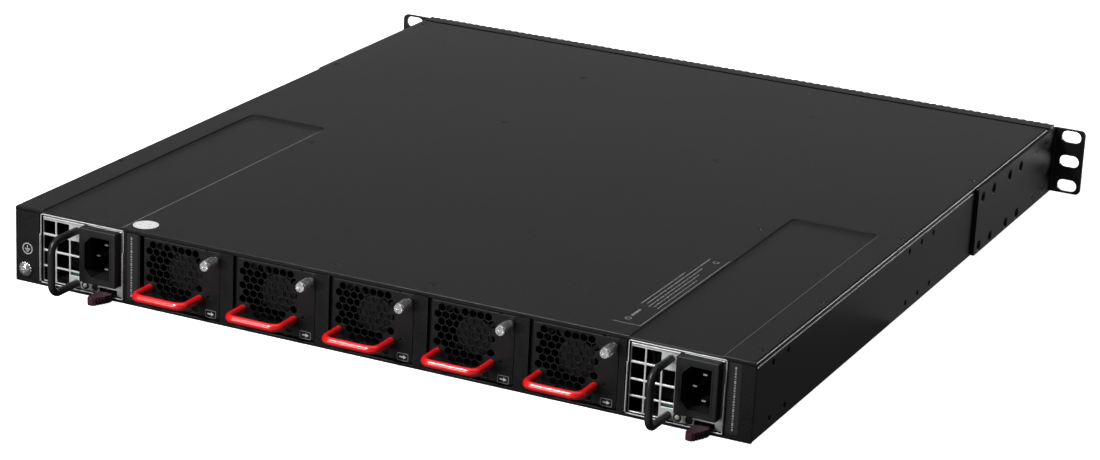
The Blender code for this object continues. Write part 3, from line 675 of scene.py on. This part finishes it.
def earth_mark():
    """The plain earth symbol: a ring, a stem and three bars."""
    ring = plate(circle(3.3, 40), [circle(2.75, 40)], "y", 0.0, 0.06, 0.015, 0)
    bars = [rectangle((-0.25, 0.2), (0.25, 2.0))]
    bars += [rectangle((-w, z), (w, z + 0.45)) for w, z in ((1.8, -0.3), (1.15, -1.2), (0.5, -2.05))]
    return joined(ring, *[plate(b, [], "y", 0.0, 0.06, 0.015, 0) for b in bars])


def dashes(middle, low, high, lengths, gap, width, axis, base):
    """Short marks in a row in place of print, one after another along the second axis of the plate."""
    marks = []
    at = low
    for length in cycle(lengths):
        if at + length >= high:
            return joined(*marks)
        mark = rectangle((middle - width / 2, at), (middle + width / 2, at + length))
        marks.append(plate(mark, [], axis, *base, 0.01, 0))
        at += length + gap


def build_base():
    piece("base", base_shell(), "side", stands_for=["chassis_base"])
    piece("rear_wall", rear_wall(), "rear")
    ground = (GROUND_AT[0], REAR, GROUND_AT[1])
    piece("ground_screw_head", ground_screw(), "nickel", "root", ground, ["ground_screw"])
    piece("earth_mark", earth_mark(), "ink", place=(EARTH_AT[0], REAR, EARTH_AT[1]))
    films = [rounded((low, 3.2), (high, 41.2), 0.5) for low, high in LABELS]
    piece("label_strips", joined(*[plate(f, [], "y", REAR, REAR + 0.1, 0.03, 0) for f in films]), "label")
    ink = (REAR + 0.09, REAR + 0.13)
    marks = [dashes(x, 5.0, 39.5, (1.1, 0.6, 1.6, 0.5, 0.9), 0.55, 0.95, "y", ink) for x in (144.6, -209.2)]
    piece("label_marks", joined(*marks), "grey_ink_and_painted_highlight")


# ---- rack brackets

BRACKET_LOW, BRACKET_HIGH = span("rack_bracket_left")
EAR_BACK = BRACKET_LOW.y + 2.0
BRACKET_HOLES = [(y, z) for y in (-100.5, -121.0, -151.0, -172.5) for z in (35.5, 5.4)]
BRACKET_SCREWS = [(y, z) for y in (-203.5, -224.0) for z in (36.6, 7.2)]


def corner_cutter(tip, side, radius, steps, axis, low, high):
    """A cutter that rounds the corner of an outline where its far end meets one of its two sides."""
    at, sign = side
    quarter = arc((tip - radius, at + sign * radius), radius, 0.0, -sign * pi / 2, steps)
    outside = [(tip - radius, at - sign), (tip + 1.0, at - sign), (tip + 1.0, at + sign * radius)]
    return prism(quarter + outside, axis, low, high)


def bracket():
    """The left bracket: a side plate bent out into an ear with three slots."""
    near = BRACKET_LOW.x
    middle = near + 1.0
    low, high = BRACKET_LOW.z, BRACKET_HIGH.z
    ear = (EAR_BACK - 6.0, EAR_BACK + 4.0)
    path = [(middle, BRACKET_HIGH.y), (middle, EAR_BACK - 1.0), (BRACKET_HIGH.x, EAR_BACK - 1.0)]
    sheet = prism(bent_strip(path, 2.0, 1.6, 8), "z", low, high)
    slots = [prism(obround((232.565, z), 12.6, 7.8), "y", *ear) for z in (5.925, 21.8, 37.675)]
    corners = []
    for side in ((low, 1), (high, -1)):
        corners.append(corner_cutter(BRACKET_HIGH.x, side, 3.0, 8, "y", *ear))
        corners.append(corner_cutter(BRACKET_HIGH.y, side, 1.0, 5, "x", near - 1.0, near + 4.0))
    holes = joined(
        scattered(countersink(3.6, 1.0, 2.6, 3.0), [(near + 2.0, y, z) for y, z in BRACKET_HOLES], "+x"),
        scattered(countersink(3.3, 1.5, 1.9, 3.0), [(near + 2.0, y, z) for y, z in BRACKET_SCREWS], "+x"),
    )
    return bevelled(cut(sheet, joined(*slots), joined(*corners), holes), 0.22, 2, 55)


def build_brackets():
    left = bracket()
    screws = scattered(flat_screw(3.2, 1.4), [(BRACKET_LOW.x + 1.9, y, z) for y, z in BRACKET_SCREWS], "+x")
    for side, shape, heads in (("left", left, screws), ("right", mirrored(left), mirrored(screws))):
        piece(f"bracket_{side}", shape, "side", stands_for=[f"rack_bracket_{side}"])
        piece(f"bracket_{side}_screws", heads, "screw")


# ---- fan modules, in frames at (x, REAR, 0)

FACE = -0.4
FACE_SHEET = 1.0
FACE_HALF = 23.8
FACE_LOW, FACE_HIGH = 2.2, 41.2
TRAY_BACK = -40.4
TRAY_RIGHT = -17.2
FAN_AT = (3.3, 21.7)
SCREW_AT = (-21.1, 35.9)
HEX_PITCH = 4.46
HEX_ROW = 3.86
HEX_RADIUS = 3.85 / sqrt(3)
HEX_TOP = 37.1
HEX_ROWS = ((18.3, 7), (20.5, 8), (18.3, 7), (20.5, 8), (18.3, 7), (20.5, 8), (13.8, 5), (11.6, 4), (9.4, 3))


def honeycomb():
    holes = []
    for row, (start, count) in enumerate(HEX_ROWS):
        for i in range(count):
            centre = (start - HEX_PITCH * i, HEX_TOP - HEX_ROW * row)
            holes.append(circle(HEX_RADIUS, 6, centre, pi / 6))
    return holes


def fan_face():
    """The face with its honeycomb, small holes and the folds along its top and bottom edges."""
    fold = 1.0
    holes = honeycomb()
    holes += [circle(0.75, 12, (-16.8, 14.4)), circle(1.65, 16, (-8.4, 5.8)), circle(1.75, 16, SCREW_AT)]
    low, high = FACE_LOW + fold, FACE_HIGH - fold
    flat = rectangle((-FACE_HALF, low), (FACE_HALF, high))
    shapes = [plate(flat, holes, "y", FACE - FACE_SHEET, FACE, 0.2, 2)]
    edge = FACE_SHEET / 2
    middle = FACE - edge
    for start, z, runs in (
        (high - 0.14, FACE_HIGH - edge, ((-14.9, FACE_HALF), (-FACE_HALF, -16.1))),
        (low + 0.14, FACE_LOW + edge, ((-FACE_HALF, FACE_HALF),)),
    ):
        outline = bent_strip([(middle, start), (middle, z), (FACE - 8.0, z)], FACE_SHEET, 0.62)
        shapes += [prism(outline, "x", *run) for run in runs]
    return joined(*shapes)


def fan_tray():
    """The face and, behind it, the open frame that holds the fan."""
    side = rectangle((TRAY_BACK, FACE_LOW + 0.5), (FACE - 0.9, FACE_HIGH - 0.5))
    slots = [obround((-24.0, z), 14.0, 3.0) for z in (33.0, 10.0)]
    shapes = [plate(side, slots, "x", x, x + 0.8, 0.12) for x in (FACE_HALF - 0.8, TRAY_RIGHT)]
    back = rectangle((TRAY_RIGHT, FACE_LOW), (FACE_HALF, FACE_HIGH))
    shapes.append(plate(back, [circle(17.6, 40, FAN_AT)], "y", TRAY_BACK, TRAY_BACK + 1.0, 0.12))
    for x in (TRAY_RIGHT + 0.4, FACE_HALF - 5.4):
        for z in (FACE_LOW, FACE_HIGH - 0.8):
            shapes.append(box((x, TRAY_BACK + 0.9, z), (x + 5.0, TRAY_BACK + 8.0, z + 0.8)))
    return joined(fan_face(), *shapes)


def blade(hub, tip, length, sweep):
    """One curved fan blade about the Y axis: its pitch falls towards the tip and its tip leads."""
    rings = []
    steps = 8
    count = 8
    for i in range(steps + 1):
        share = i / steps
        radius = hub + (tip - hub) * share
        pitch = radians(52 - 20 * share)
        chord = (0.62 + 0.38 * share) * length
        lead = sweep * share * share
        ring = []
        for j in range(2 * count):
            t = j / count if j <= count else 2 - j / count
            side = 1 if j <= count else -1
            camber = 0.10 * chord * (1 - (2 * t - 1) ** 2)
            thick = 0.55 * (1 - (2 * t - 1) ** 4) + 0.08
            u = (t - 0.5) * chord
            v = camber + side * thick / 2 * (0.0 if j in (0, count) else 1.0)
            along = u * sin(pitch) + v * cos(pitch)
            across = u * cos(pitch) - v * sin(pitch)
            angle = across / radius + lead
            ring.append((radius * sin(angle), along, radius * cos(angle)))
        rings.append(ring)
    return ringed(rings)


def fan_rotor(scale=1.0):
    """A hub with seven curved blades, about the Y axis, from y = 0 inwards."""
    length = 20.0
    profile = ((0.4, 0.0), (8.6, 0.0), (9.9, -0.35), (10.4, -1.1), (10.4, -length + 0.6), (9.8, -length))
    hub = turned(profile, 40)
    shape = blade(10.1, 16.9 * scale, 14.0, 0.35)
    inwards = Matrix.Translation((0, -length / 2, 0))
    turns = [Matrix.Rotation(2 * pi * i / 7, 4, "Y") for i in range(7)]
    return joined(hub, *[moved(shape, turn=turn @ inwards) for turn in turns])


def fan_housing(size):
    """A square frame with a round bore, corner ears and, at its rear end, a motor disc on four struts."""
    half = size / 2
    bore = 18.0 * size / 38.8
    ear = half - 3.0
    holes = [circle(bore, 48)] + [circle(1.4, 12, (x * ear, z * ear)) for x in (-1, 1) for z in (-1, 1)]
    body = plate(rounded((-half, -half), (half, half), 2.4), holes, "y", -28.0, 0.0, 0.35, 2)
    profile = ((10.9, -3.4), (10.9, -1.0), (10.3, -0.4), (9.0, -0.3), (8.8, -0.6), (4.2, -0.6), (3.9, -0.25))
    disc = turned(profile + ((3.0, -0.25), (2.8, -0.6), (0.5, -0.6)), 48)
    strut = bevelled(box((10.0, -3.0, -1.1), (bore + 0.5, -0.8, 1.1)), 0.25)
    turns = [Matrix.Rotation(pi / 2 * i + radians(38), 4, "Y") for i in range(4)]
    return joined(body, disc, *[moved(strut, turn=turn) for turn in turns])


def bail(low, high, root, reach, corner, steps=8):
    """The path of a bent rod handle from one root to the other, as (across, outwards)."""
    near = arc((low + corner, reach - corner), corner, pi, pi / 2, steps)
    far = arc((high - corner, reach - corner), corner, pi / 2, 0.0, steps)
    return [(low, root)] + near + far + [(high, root)]


def fan_handle():
    path = bail(-11.2, 20.1, FACE + 0.05, 17.0, 5.0)
    return rod([(x, y, 0.0) for x, y in path], (0, 0, 1), 2.2, 24)


def thumbscrew():
    """A captive screw about the Y axis: a plain neck and a long knurled head with a cross recess."""
    ridges = 28
    rings = []
    for radius, y, depth in ((2.5, 2.2, 0.1), (3.0, 2.6, 0.26), (3.0, 10.2, 0.26), (2.7, 10.6, 0.1)):
        ring = []
        for i in range(ridges * 4):
            angle = 2 * pi * i / (ridges * 4)
            r = radius + depth * (0.5 * cos(ridges * angle) - 0.5)
            ring.append((r * cos(angle), y, r * sin(angle)))
        rings.append(ring)
    grip = ringed(rings)
    face = turned(((2.5, 10.3), (2.75, 10.7), (2.75, 11.2), (2.45, 11.7), (1.9, 11.8), (0.4, 11.8)), 32)
    face = cut(face, moved(recess(4.3), (0, 11.81, 0), FACING["+y"]))
    neck = turned(((2.35, 0.0), (2.35, 2.4)), 32)
    shank = turned(((1.5, -6.0), (1.5, 0.2)), 16)
    return joined(grip, face, neck, shank)


def airflow_frame():
    """A round-cornered frame in place of print."""
    inside = rounded((-3.08, -1.88), (3.08, 1.88), 0.4)
    return plate(rounded((-3.3, -2.1), (3.3, 2.1), 0.6), [inside], "y", 0.0, 0.05, 0.01, 0)


def airflow_arrow():
    arrow = [(1.9, 0.35), (1.9, -0.35), (-0.3, -0.35), (-0.3, -1.15), (-2.1, 0.0), (-0.3, 1.15), (-0.3, 0.35)]
    return plate(arrow, [], "y", 0.0, 0.05, 0.01, 0)


DEFAULTS = (None, (0, 0, 0), "")  # for the end of a row


def build_module(name, origin, parts):
    """The pieces of a module. Each row: part, mesh, look, slot, node it replaces, place, own moving body."""
    for part, mesh, look, slot, stands_for, place, body in (row + DEFAULTS[len(row) - 4 :] for row in parts):
        nodes = [f"{name}_{stands_for}"] if stands_for else ()
        piece(f"{name}_{part}", mesh, look, name + body, origin + Vector(place), nodes)


def build_fan_modules():
    hub = Vector((FAN_AT[0], FACE - 8.3, FAN_AT[1]))
    mark = (-18.3, FACE, 5.0)
    screw = (SCREW_AT[0], 0, SCREW_AT[1])
    parts = [
        ("shell", fan_tray(), "rear", "chassis_paint", "tray"),
        ("frame", fan_housing(38.8), "fan", "fan_plastic", "housing", hub),
        ("blades", fan_rotor(), "fan", "fan_plastic", "rotor", hub - Vector((0, 5.0, 0)), "_rotor"),
        ("pull", fan_handle(), "handle", "red_handle", "handle", (0, 0, 12.4)),
        ("screw", thumbscrew(), "nickel", "nickel", "thumbscrew", screw, "_thumbscrew"),
        ("airflow", airflow_frame(), "grey_ink_and_painted_highlight", "chassis_paint", None, mark),
        ("arrow", airflow_arrow(), "ink", "chassis_paint", None, mark),
    ]
    for i, x in enumerate(FAN_X, 1):
        build_module(f"fan_{i}", Vector((x, REAR, 0.0)), parts)


# ---- power supplies, in frames at (x, REAR, 0)

CASE_LEFT, CASE_RIGHT = 26.2, -27.6
CASE_LOW, CASE_HIGH = 1.9, 41.9
CASE_BACK = -210.0
CASE_SHEET = 0.55
RIM = 0.6
GRID_FACE = -0.8
GRID_LEFT, GRID_RIGHT = 25.4, -26.5
GRID_TOP = 40.7
COLUMNS = ((17.5, 24.9), (8.5, 16.5), (0.5, 7.5))
ROWS = ((30.6, 38.2), (21.3, 29.4), (12.2, 20.2), (3.2, 11.2))
MOUTH_LOW, MOUTH_HIGH = (-21.6, 13.1), (-5.6, 36.6)
PIVOT = (-17.0, -30.0)
LAMP_AT = (-2.05, 5.2)
BUTTON_AT = (-8.6, 5.2)


def case_outline(inset):
    low = (CASE_RIGHT + inset, CASE_LOW + inset)
    high = (CASE_LEFT - inset, CASE_HIGH - inset)
    return rounded(low, high, max(1.3 - inset, 0.4))


def supply_case():
    """The sheet box, with vents along its sides and a longer lower part of each side at the rim."""
    tube = plate(case_outline(0.0), [case_outline(CASE_SHEET)], "y", CASE_BACK, RIM, 0.14, 1)
    tips = [
        bevelled(box((CASE_LEFT - 0.53, -1.0, 3.2), (CASE_LEFT - 0.01, 1.6, 30.2)), 0.12, 2),
        bevelled(box((CASE_RIGHT + 0.01, -1.0, 3.2), (CASE_RIGHT + 0.5, 1.5, 29.2)), 0.12, 2),
    ]
    vents = []
    for row in range(5):
        for i in range(14):
            z = 8.0 + 7.0 * row
            y = -30.0 - 7.0 * i - (3.5 if row % 2 else 0.0)
            vents.append(prism(circle(2.2, 8, (y, z)), "x", CASE_RIGHT - 2, CASE_LEFT + 2))
    return joined(cut(tube, joined(*vents)), *tips)


def supply_painted_shade_sheet():
    """Painted shade: a thin dark sheet inside the case's rear end, standing in for the shade on its inner
    walls.
    """
    return plate(case_outline(CASE_SHEET + 0.02), [case_outline(CASE_SHEET + 0.22)], "y", -27.5, 0.3, 0.04, 0)


def supply_grid():
    """The face: a grid of windows beside the openings for inlet, latch and lamp, with a fold above."""
    holes = []
    for i, (low, high) in enumerate(COLUMNS):
        for j, (bottom, top) in enumerate(ROWS):
            if (i, j) == (2, 3):
                holes.append(rounded((low, 9.3), (high, 11.2), 0.4, 3))
            elif (i, j) != (2, 0):
                holes.append(rounded((low, bottom), (high, top), 0.5, 3))
    holes += [rectangle((-23.7, 11.0), (-3.7, 38.9)), rounded((-22.6, 2.8), (-11.2, 6.0), 0.4, 3)]
    holes += [circle(2.3, 24, LAMP_AT), circle(2.3, 24, BUTTON_AT)]
    outer = rounded((GRID_RIGHT, 2.75), (GRID_LEFT, 39.9), 0.5)
    face = plate(outer, holes, "y", GRID_FACE - 1.0, GRID_FACE, 0.2, 2)
    band = bevelled(box((-2.6, GRID_FACE - 5.0, 39.1), (GRID_LEFT, GRID_FACE + 0.5, GRID_TOP)), 0.75, 5)
    band_right = bevelled(box((GRID_RIGHT, GRID_FACE - 5.0, 39.6), (-3.8, GRID_FACE + 0.9, 41.2)), 0.75, 5)
    hole = circle(2.15, 32, BUTTON_AT)
    rim = plate(circle(2.45, 32, BUTTON_AT), [hole], "y", GRID_FACE - 0.2, GRID_FACE + 0.2, 0.08, 2)
    return joined(face, band, band_right, rim)


def inlet():
    """A three-pole mains inlet: a flange, a mouth with two cut corners and a fine bezel line."""
    front = 5.4
    flange = bevelled(box((-25.4, GRID_FACE + 0.1, 9.3), (-2.0, front, 40.6)), 0.7, 3)
    body = box((-23.4, -22.0, 11.3), (-4.0, 2.0, 38.6))
    mouth = chamfered(MOUTH_LOW, MOUTH_HIGH, 4.4)
    outer = chamfered((-22.6, 12.1), (-4.6, 37.6), 4.8)
    inner = chamfered((-22.3, 12.4), (-4.9, 37.3), 4.7)
    shape = cut(united(flange, body), prism(mouth, "y", -19.0, 10.0))
    groove = plate(outer, [inner], "y", front - 0.25, front + 2.0, 0.02, 0)
    return bevelled(cut(shape, groove), 0.1, 2, 60)


def inlet_blades():
    """Three flat blades with tapered tips."""
    middle = ((MOUTH_LOW[0] + MOUTH_HIGH[0]) / 2, (MOUTH_LOW[1] + MOUTH_HIGH[1]) / 2)
    tip = -1.0
    blades = []
    for dx, dz in ((-2.0, 6.2), (-2.0, -7.8), (3.3, -0.8)):
        rings = []
        for y, u, v in ((-20.0, 2.0, 1.0), (tip - 1.9, 2.0, 1.0), (tip - 0.15, 1.2, 0.5), (tip, 1.1, 0.42)):
            rings.append([(x, y, z) for x, z in rounded((-u, -v), (u, v), 0.3, 3)])
        blades.append(moved(ringed(rings), (middle[0] + dx, 0, middle[1] + dz)))
    return joined(*blades)


def supply_bail():
    path = bail(5.6, 35.9, GRID_FACE, 23.6, 7.0, 10)
    return rod([(0.0, y, z) for z, y in path], (1, 0, 0), 2.1, 24)


def latch():
    """A flat lever with a ribbed finger tab, about its pivot. The tab's free end is on +Y."""
    px, py = PIVOT
    outline = [(-21.3, 1.5), (-21.3, 4.6), (-20.6, 6.2)]
    along = Vector((3.8, 7.4)).normalized()
    across = Vector((-along.y, along.x))
    for i in range(4):
        start = Vector((-20.6, 6.2)) + along * (1.0 + 1.85 * i)
        for step, rise in ((0.0, 0.0), (0.25, 0.45), (0.85, 0.45), (1.1, 0.0)):
            outline.append(tuple(start + along * step + across * rise))
    outline += [(-16.8, 13.6), (-16.0, 14.0), (-14.5, 14.0)]
    outline += arc((-14.5, 11.8), 2.2, pi / 2, 0.0, 7)[1:]
    outline += [(-12.3, 4.0), (-12.6, 1.5)]
    tab = bevelled(prism([(x - px, y - py) for x, y in outline], "z", 0.5, 4.9), 0.3, 2, 40)
    lever = bevelled(box((-20.3 - px, 0.0, 3.0), (-14.1 - px, 3.0 - py, 4.8)), 0.15)
    boss = turned(((3.5, 3.0), (3.8, 3.2), (3.8, 5.6), (3.5, 5.8)), 24, "z")
    return joined(tab, lever, boss)


def lamp():
    return turned(((1.4, -4.0), (1.4, 0.1), (1.2, 0.45), (0.8, 0.65), (0.25, 0.72)), 24)


def lamp_ring():
    """The dark ring round the lamp, and the black button beside it."""
    ring = turned(((2.25, -3.0), (2.25, 0.05), (2.0, 0.25), (1.6, 0.2), (1.45, -0.1), (1.45, -3.0)), 24)
    button = turned(((1.95, -2.0), (1.95, 0.15), (1.7, 0.4), (0.5, 0.45)), 24)
    return joined(
        moved(ring, (LAMP_AT[0], GRID_FACE, LAMP_AT[1])),
        moved(button, (BUTTON_AT[0], GRID_FACE, BUTTON_AT[1])),
    )


def supply_inside():
    """The circuit board behind the grid and at the open inner end."""
    return joined(
        bevelled(box((-25.5, -205.0, 9.0), (25.5, -75.0, 10.6)), 0.1),
        bevelled(box((-1.0, -4.4, 9.0), (8.5, -2.2, 10.3)), 0.1),
    )


def build_supplies():
    fan = Vector((0, -40.0, 21.9))
    lamp_at = (LAMP_AT[0], GRID_FACE, LAMP_AT[1])
    rotor = fan_rotor(37.6 / 38.8)
    parts = [
        ("box", supply_case(), "zinc", "zinc_steel", "case"),
        # painted shade: a dark sheet where the case's inner walls lie in shade
        ("painted_shade_sheet", supply_painted_shade_sheet(), "dark", "zinc_steel"),
        ("grid", supply_grid(), "zinc", "zinc_steel"),
        ("socket", inlet(), "black", "black_plastic", "inlet"),
        ("blades", inlet_blades(), "contact", "nickel"),
        ("bail", supply_bail(), "wire", "black_handle", "handle", (3.3, 0, 0)),
        ("lever", latch(), "latch", "maroon_latch", "latch", (*PIVOT, 0), "_latch"),
        ("lamp", lamp(), "lens", "lamp_lens", "lens", lamp_at),
        ("rings", lamp_ring(), "wire", "black_plastic"),
        ("fan_frame", fan_housing(37.6), "fan", "fan_plastic", "fan_housing", fan),
        ("fan_blades", rotor, "fan", "fan_plastic", "fan_rotor", fan - Vector((0, 5.0, 0)), "_fan_rotor"),
        ("board", supply_inside(), "board", "circuit_board"),
    ]
    for side, x in SUPPLY_X.items():
        build_module(f"supply_{side}", Vector((x, REAR, 0.0)), parts)


# ---- print on the cover

STICKER_AT = (142.3, 234.4, TOP)


def build_print():
    """A frame and rows of dashes in place of the printed label, and a round sticker."""
    base = (TOP - 0.01, TOP + 0.02)
    frame_lines = [rectangle((-149.7, 112.0), (-149.3, 229.2)), rectangle((-149.3, 228.8), (-134.2, 229.2))]
    marks = [plate(line, [], "z", *base, 0.005, 0) for line in frame_lines]
    for x, low, high, lengths in (
        (-136.2, 142.0, 204.0, (9.0, 5.0, 12.0)),
        (-138.9, 114.0, 204.0, (14.0, 8.0, 10.0)),
        (-141.5, 131.0, 203.0, (4.0, 2.2, 5.5)),
        (-143.9, 141.0, 202.0, (3.0, 4.5, 2.0)),
        (-146.6, 150.0, 202.0, (2.0, 3.2, 1.5)),
    ):
        marks.append(dashes(x, low, high, lengths, 0.8, 0.55, "z", base))
    for centre in ((-139.6, 222.0), (-144.0, 118.0)):
        marks.append(plate(circle(1.8, 24, centre), [circle(1.3, 24, centre)], "z", *base, 0.005, 0))
    marks.append(dashes(-139.6, 207.0, 218.5, (1.3, 0.9, 1.6), 0.55, 1.6, "z", base))
    piece("cover_print", joined(*marks), "grey_ink_and_painted_highlight")
    disc = plate(circle(7.0, 64), [], "z", 0.0, 0.1, 0.03, 1)
    piece("cover_sticker", disc, "paper", place=STICKER_AT)
    ring = plate(circle(6.1, 64), [circle(5.9, 64)], "z", 0.09, 0.12, 0.005, 0)
    bars = [plate(rectangle((-3.5, y), (3.5, y + 0.25)), [], "z", 0.09, 0.12, 0.005, 0) for y in (-1.6, 1.4)]
    piece("sticker_print", joined(ring, *bars), "grey_ink_and_painted_highlight", place=STICKER_AT)


# ---- front panel


def half_hex_row():
    """Cutters for the row of half-hexagonal notches along the front top edge."""
    pitch = 4.95
    count = 88
    notch = ((-1.6, -1.0), (1.6, -1.0), (1.6, 1.7), (0.0, 2.7), (-1.6, 1.7))
    cutters = []
    for i in range(count + 1):
        outline = [(pitch * (i - count / 2) + x, FRONT + y) for x, y in notch]
        cutters.append(prism(outline, "z", TOP - 3.4, TOP + 2.0))
    return joined(*cutters)


def front_panel():
    """The face with its port openings and patches of small hexagonal vents, and the bent lip above it."""
    holes = []
    for cage in PORT_CAGES:
        x = middle_x(cage)
        for dx in (-10.3, 10.3):
            holes += [rounded((x + dx - 9.3, z - 4.4), (x + dx + 9.3, z + 4.4), 0.4, 3) for z in (13.8, 29.4)]
    low, high = span("management_jack")
    x, z = (low.x + high.x) / 2, (low.z + high.z) / 2
    holes.append(rounded((x - 5.9, z - 4.2), (x + 5.9, z + 4.2), 0.4, 3))
    for centre in (-165, -90, -15, 60, 135, 175):
        for zc in (14, 30):
            for row in range(3):
                odd = row % 2
                for i in range(6 - odd):
                    at = (centre - 9.5 + 3.8 * i + 1.9 * odd, zc - 3.3 + 3.3 * row)
                    holes.append(circle(1.9 / sqrt(3) * 1.7, 6, at, pi / 6))
    face = plate(rectangle((-SIDE, 0.0), (SIDE, TOP - 1.2)), holes, "y", FRONT, FRONT + 1.5, 0.2, 1)
    middle, flat = FRONT + 0.75, TOP - 0.6
    fold = bent_strip([(middle, TOP - 1.4), (middle, flat), (FRONT + 11.2, flat)], 1.2, 0.7)
    lip = prism(fold, "x", -SIDE, SIDE)
    return cut(face, half_hex_row()), cut(lip, half_hex_row())


def build_front():
    face, lip = front_panel()
    piece("front_plate", face, "side", stands_for=["front_panel"])
    piece("front_lip", lip, "cover")


# ---- pieces kept from the CAD model


KEPT = {
    "rear": ["fan_cage"],
    "zinc_inside": ["supply_bay_left", "supply_bay_right", *PORT_CAGES, "management_jack"],
    "board": ["main_board", "fan_board", "cpu_module"],
    "chip": ["switch_chip"],
    "aluminium": ["switch_heat_sink", "cpu_heat_sink"],
}


def dress_kept():
    for look, names in KEPT.items():
        for name in names:
            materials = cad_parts[name].data.materials
            materials.clear()
            materials.append(finish[look])


# ---- stage, in metres

CAMERA_AT = Vector((-0.7371, 1.6039, 0.5983))
CAMERA_LOOK = Vector((0.3998, -0.858, -0.3205))
CAMERA_ROLL = 2.86
CAMERA_LENS = 103.05


def build_camera():
    data = bpy.data.cameras.new("camera")
    data.lens = CAMERA_LENS
    data.sensor_width = 36.0
    camera = linked("camera", data)
    camera.location = CAMERA_AT
    roll = Matrix.Rotation(radians(CAMERA_ROLL), 4, "Z")
    camera.rotation_euler = (CAMERA_LOOK.to_track_quat("-Z", "Y").to_matrix().to_4x4() @ roll).to_euler()
    bpy.context.scene.camera = camera


def softbox(name, place, target, size, power):
    data = bpy.data.lights.new(name, "AREA")
    data.shape = "RECTANGLE"
    data.size, data.size_y = size
    data.energy = power
    light = linked(name, data)
    light.location = place
    light.visible_camera = False
    light.rotation_euler = (Vector(target) - Vector(place)).to_track_quat("-Z", "Y").to_euler()


def backdrop():
    """A pale floor that curves up into a round wall."""
    radius, curve, height, sides = 14.0, 4.0, 9.0, 96
    profile = [(0.02, 0.0), *arc((radius - curve, curve), curve, -pi / 2, 0.0, 8), (radius, height)]
    mesh = ringed([[(x, y, z) for x, y in circle(r, sides)] for r, z in profile], lid=False)
    mesh.shade_smooth()
    return mesh


def build_stage():
    """The backdrop, which only the camera sees, and cards and softboxes for the light."""
    mesh = backdrop()
    made, _, shader = principled("backdrop_white", (0.9, 0.9, 0.9), 0.9, specular=0.1)
    shader.inputs["Emission Color"].default_value = (1.0, 1.0, 1.0, 1.0)
    shader.inputs["Emission Strength"].default_value = 1.0
    mesh.materials.append(made)
    floor = linked("backdrop", mesh)
    floor.location.z = -0.0002
    floor.visible_glossy = floor.visible_diffuse = False
    world = bpy.data.worlds.new("studio")
    world.use_nodes = True
    world.node_tree.nodes["Background"].inputs["Color"].default_value = (0.05, 0.05, 0.05, 1.0)
    bpy.context.scene.world = world
    bpy.context.scene.view_settings.view_transform = "Standard"
    softbox("overhead", (0.1, -0.3, 2.2), (0, 0, 0), (2.4, 2.4), 13)
    softbox("table_card", (0.5, 0.8, 0.0005), (0.5, 0.8, 1.0), (1.4, 1.05), 1.3)
    softbox("side_card", (-0.42, -0.15, 0.0005), (-0.42, -0.15, 1.0), (1.1, 0.38), 0.2)
    softbox("side_card_left", (0.42, -0.1, 0.0005), (0.42, -0.1, 1.0), (1.1, 0.38), 0.8)
    softbox("front_card", (0, -0.7, 0.0005), (0, -0.7, 1.0), (1.2, 0.8), 2.5)
    softbox("horizon", (1.3, -4.0, 0.28), (0, 0, 0.04), (7.0, 0.3), 17)
    softbox("far", (1.6, -3.4, 1.3), (0, 0, 0), (3.0, 1.0), 1.3)
    softbox("far_right", (-1.6, -2.5, 0.36), (-0.2, 0, 0.04), (0.9, 0.4), 22)
    softbox("key_low", (0.9, 2.3, 0.35), (0, 0.245, 0.02), (0.8, 0.5), 15)
    softbox("key_high", (0.7, 1.35, 1.6), (0, 0.245, 0.02), (0.4, 0.4), 40)


build_cover()
build_base()
build_pocket_edge()
build_brackets()
build_fan_modules()
build_supplies()
build_print()
build_front()
dress_kept()
build_camera()
build_stage()
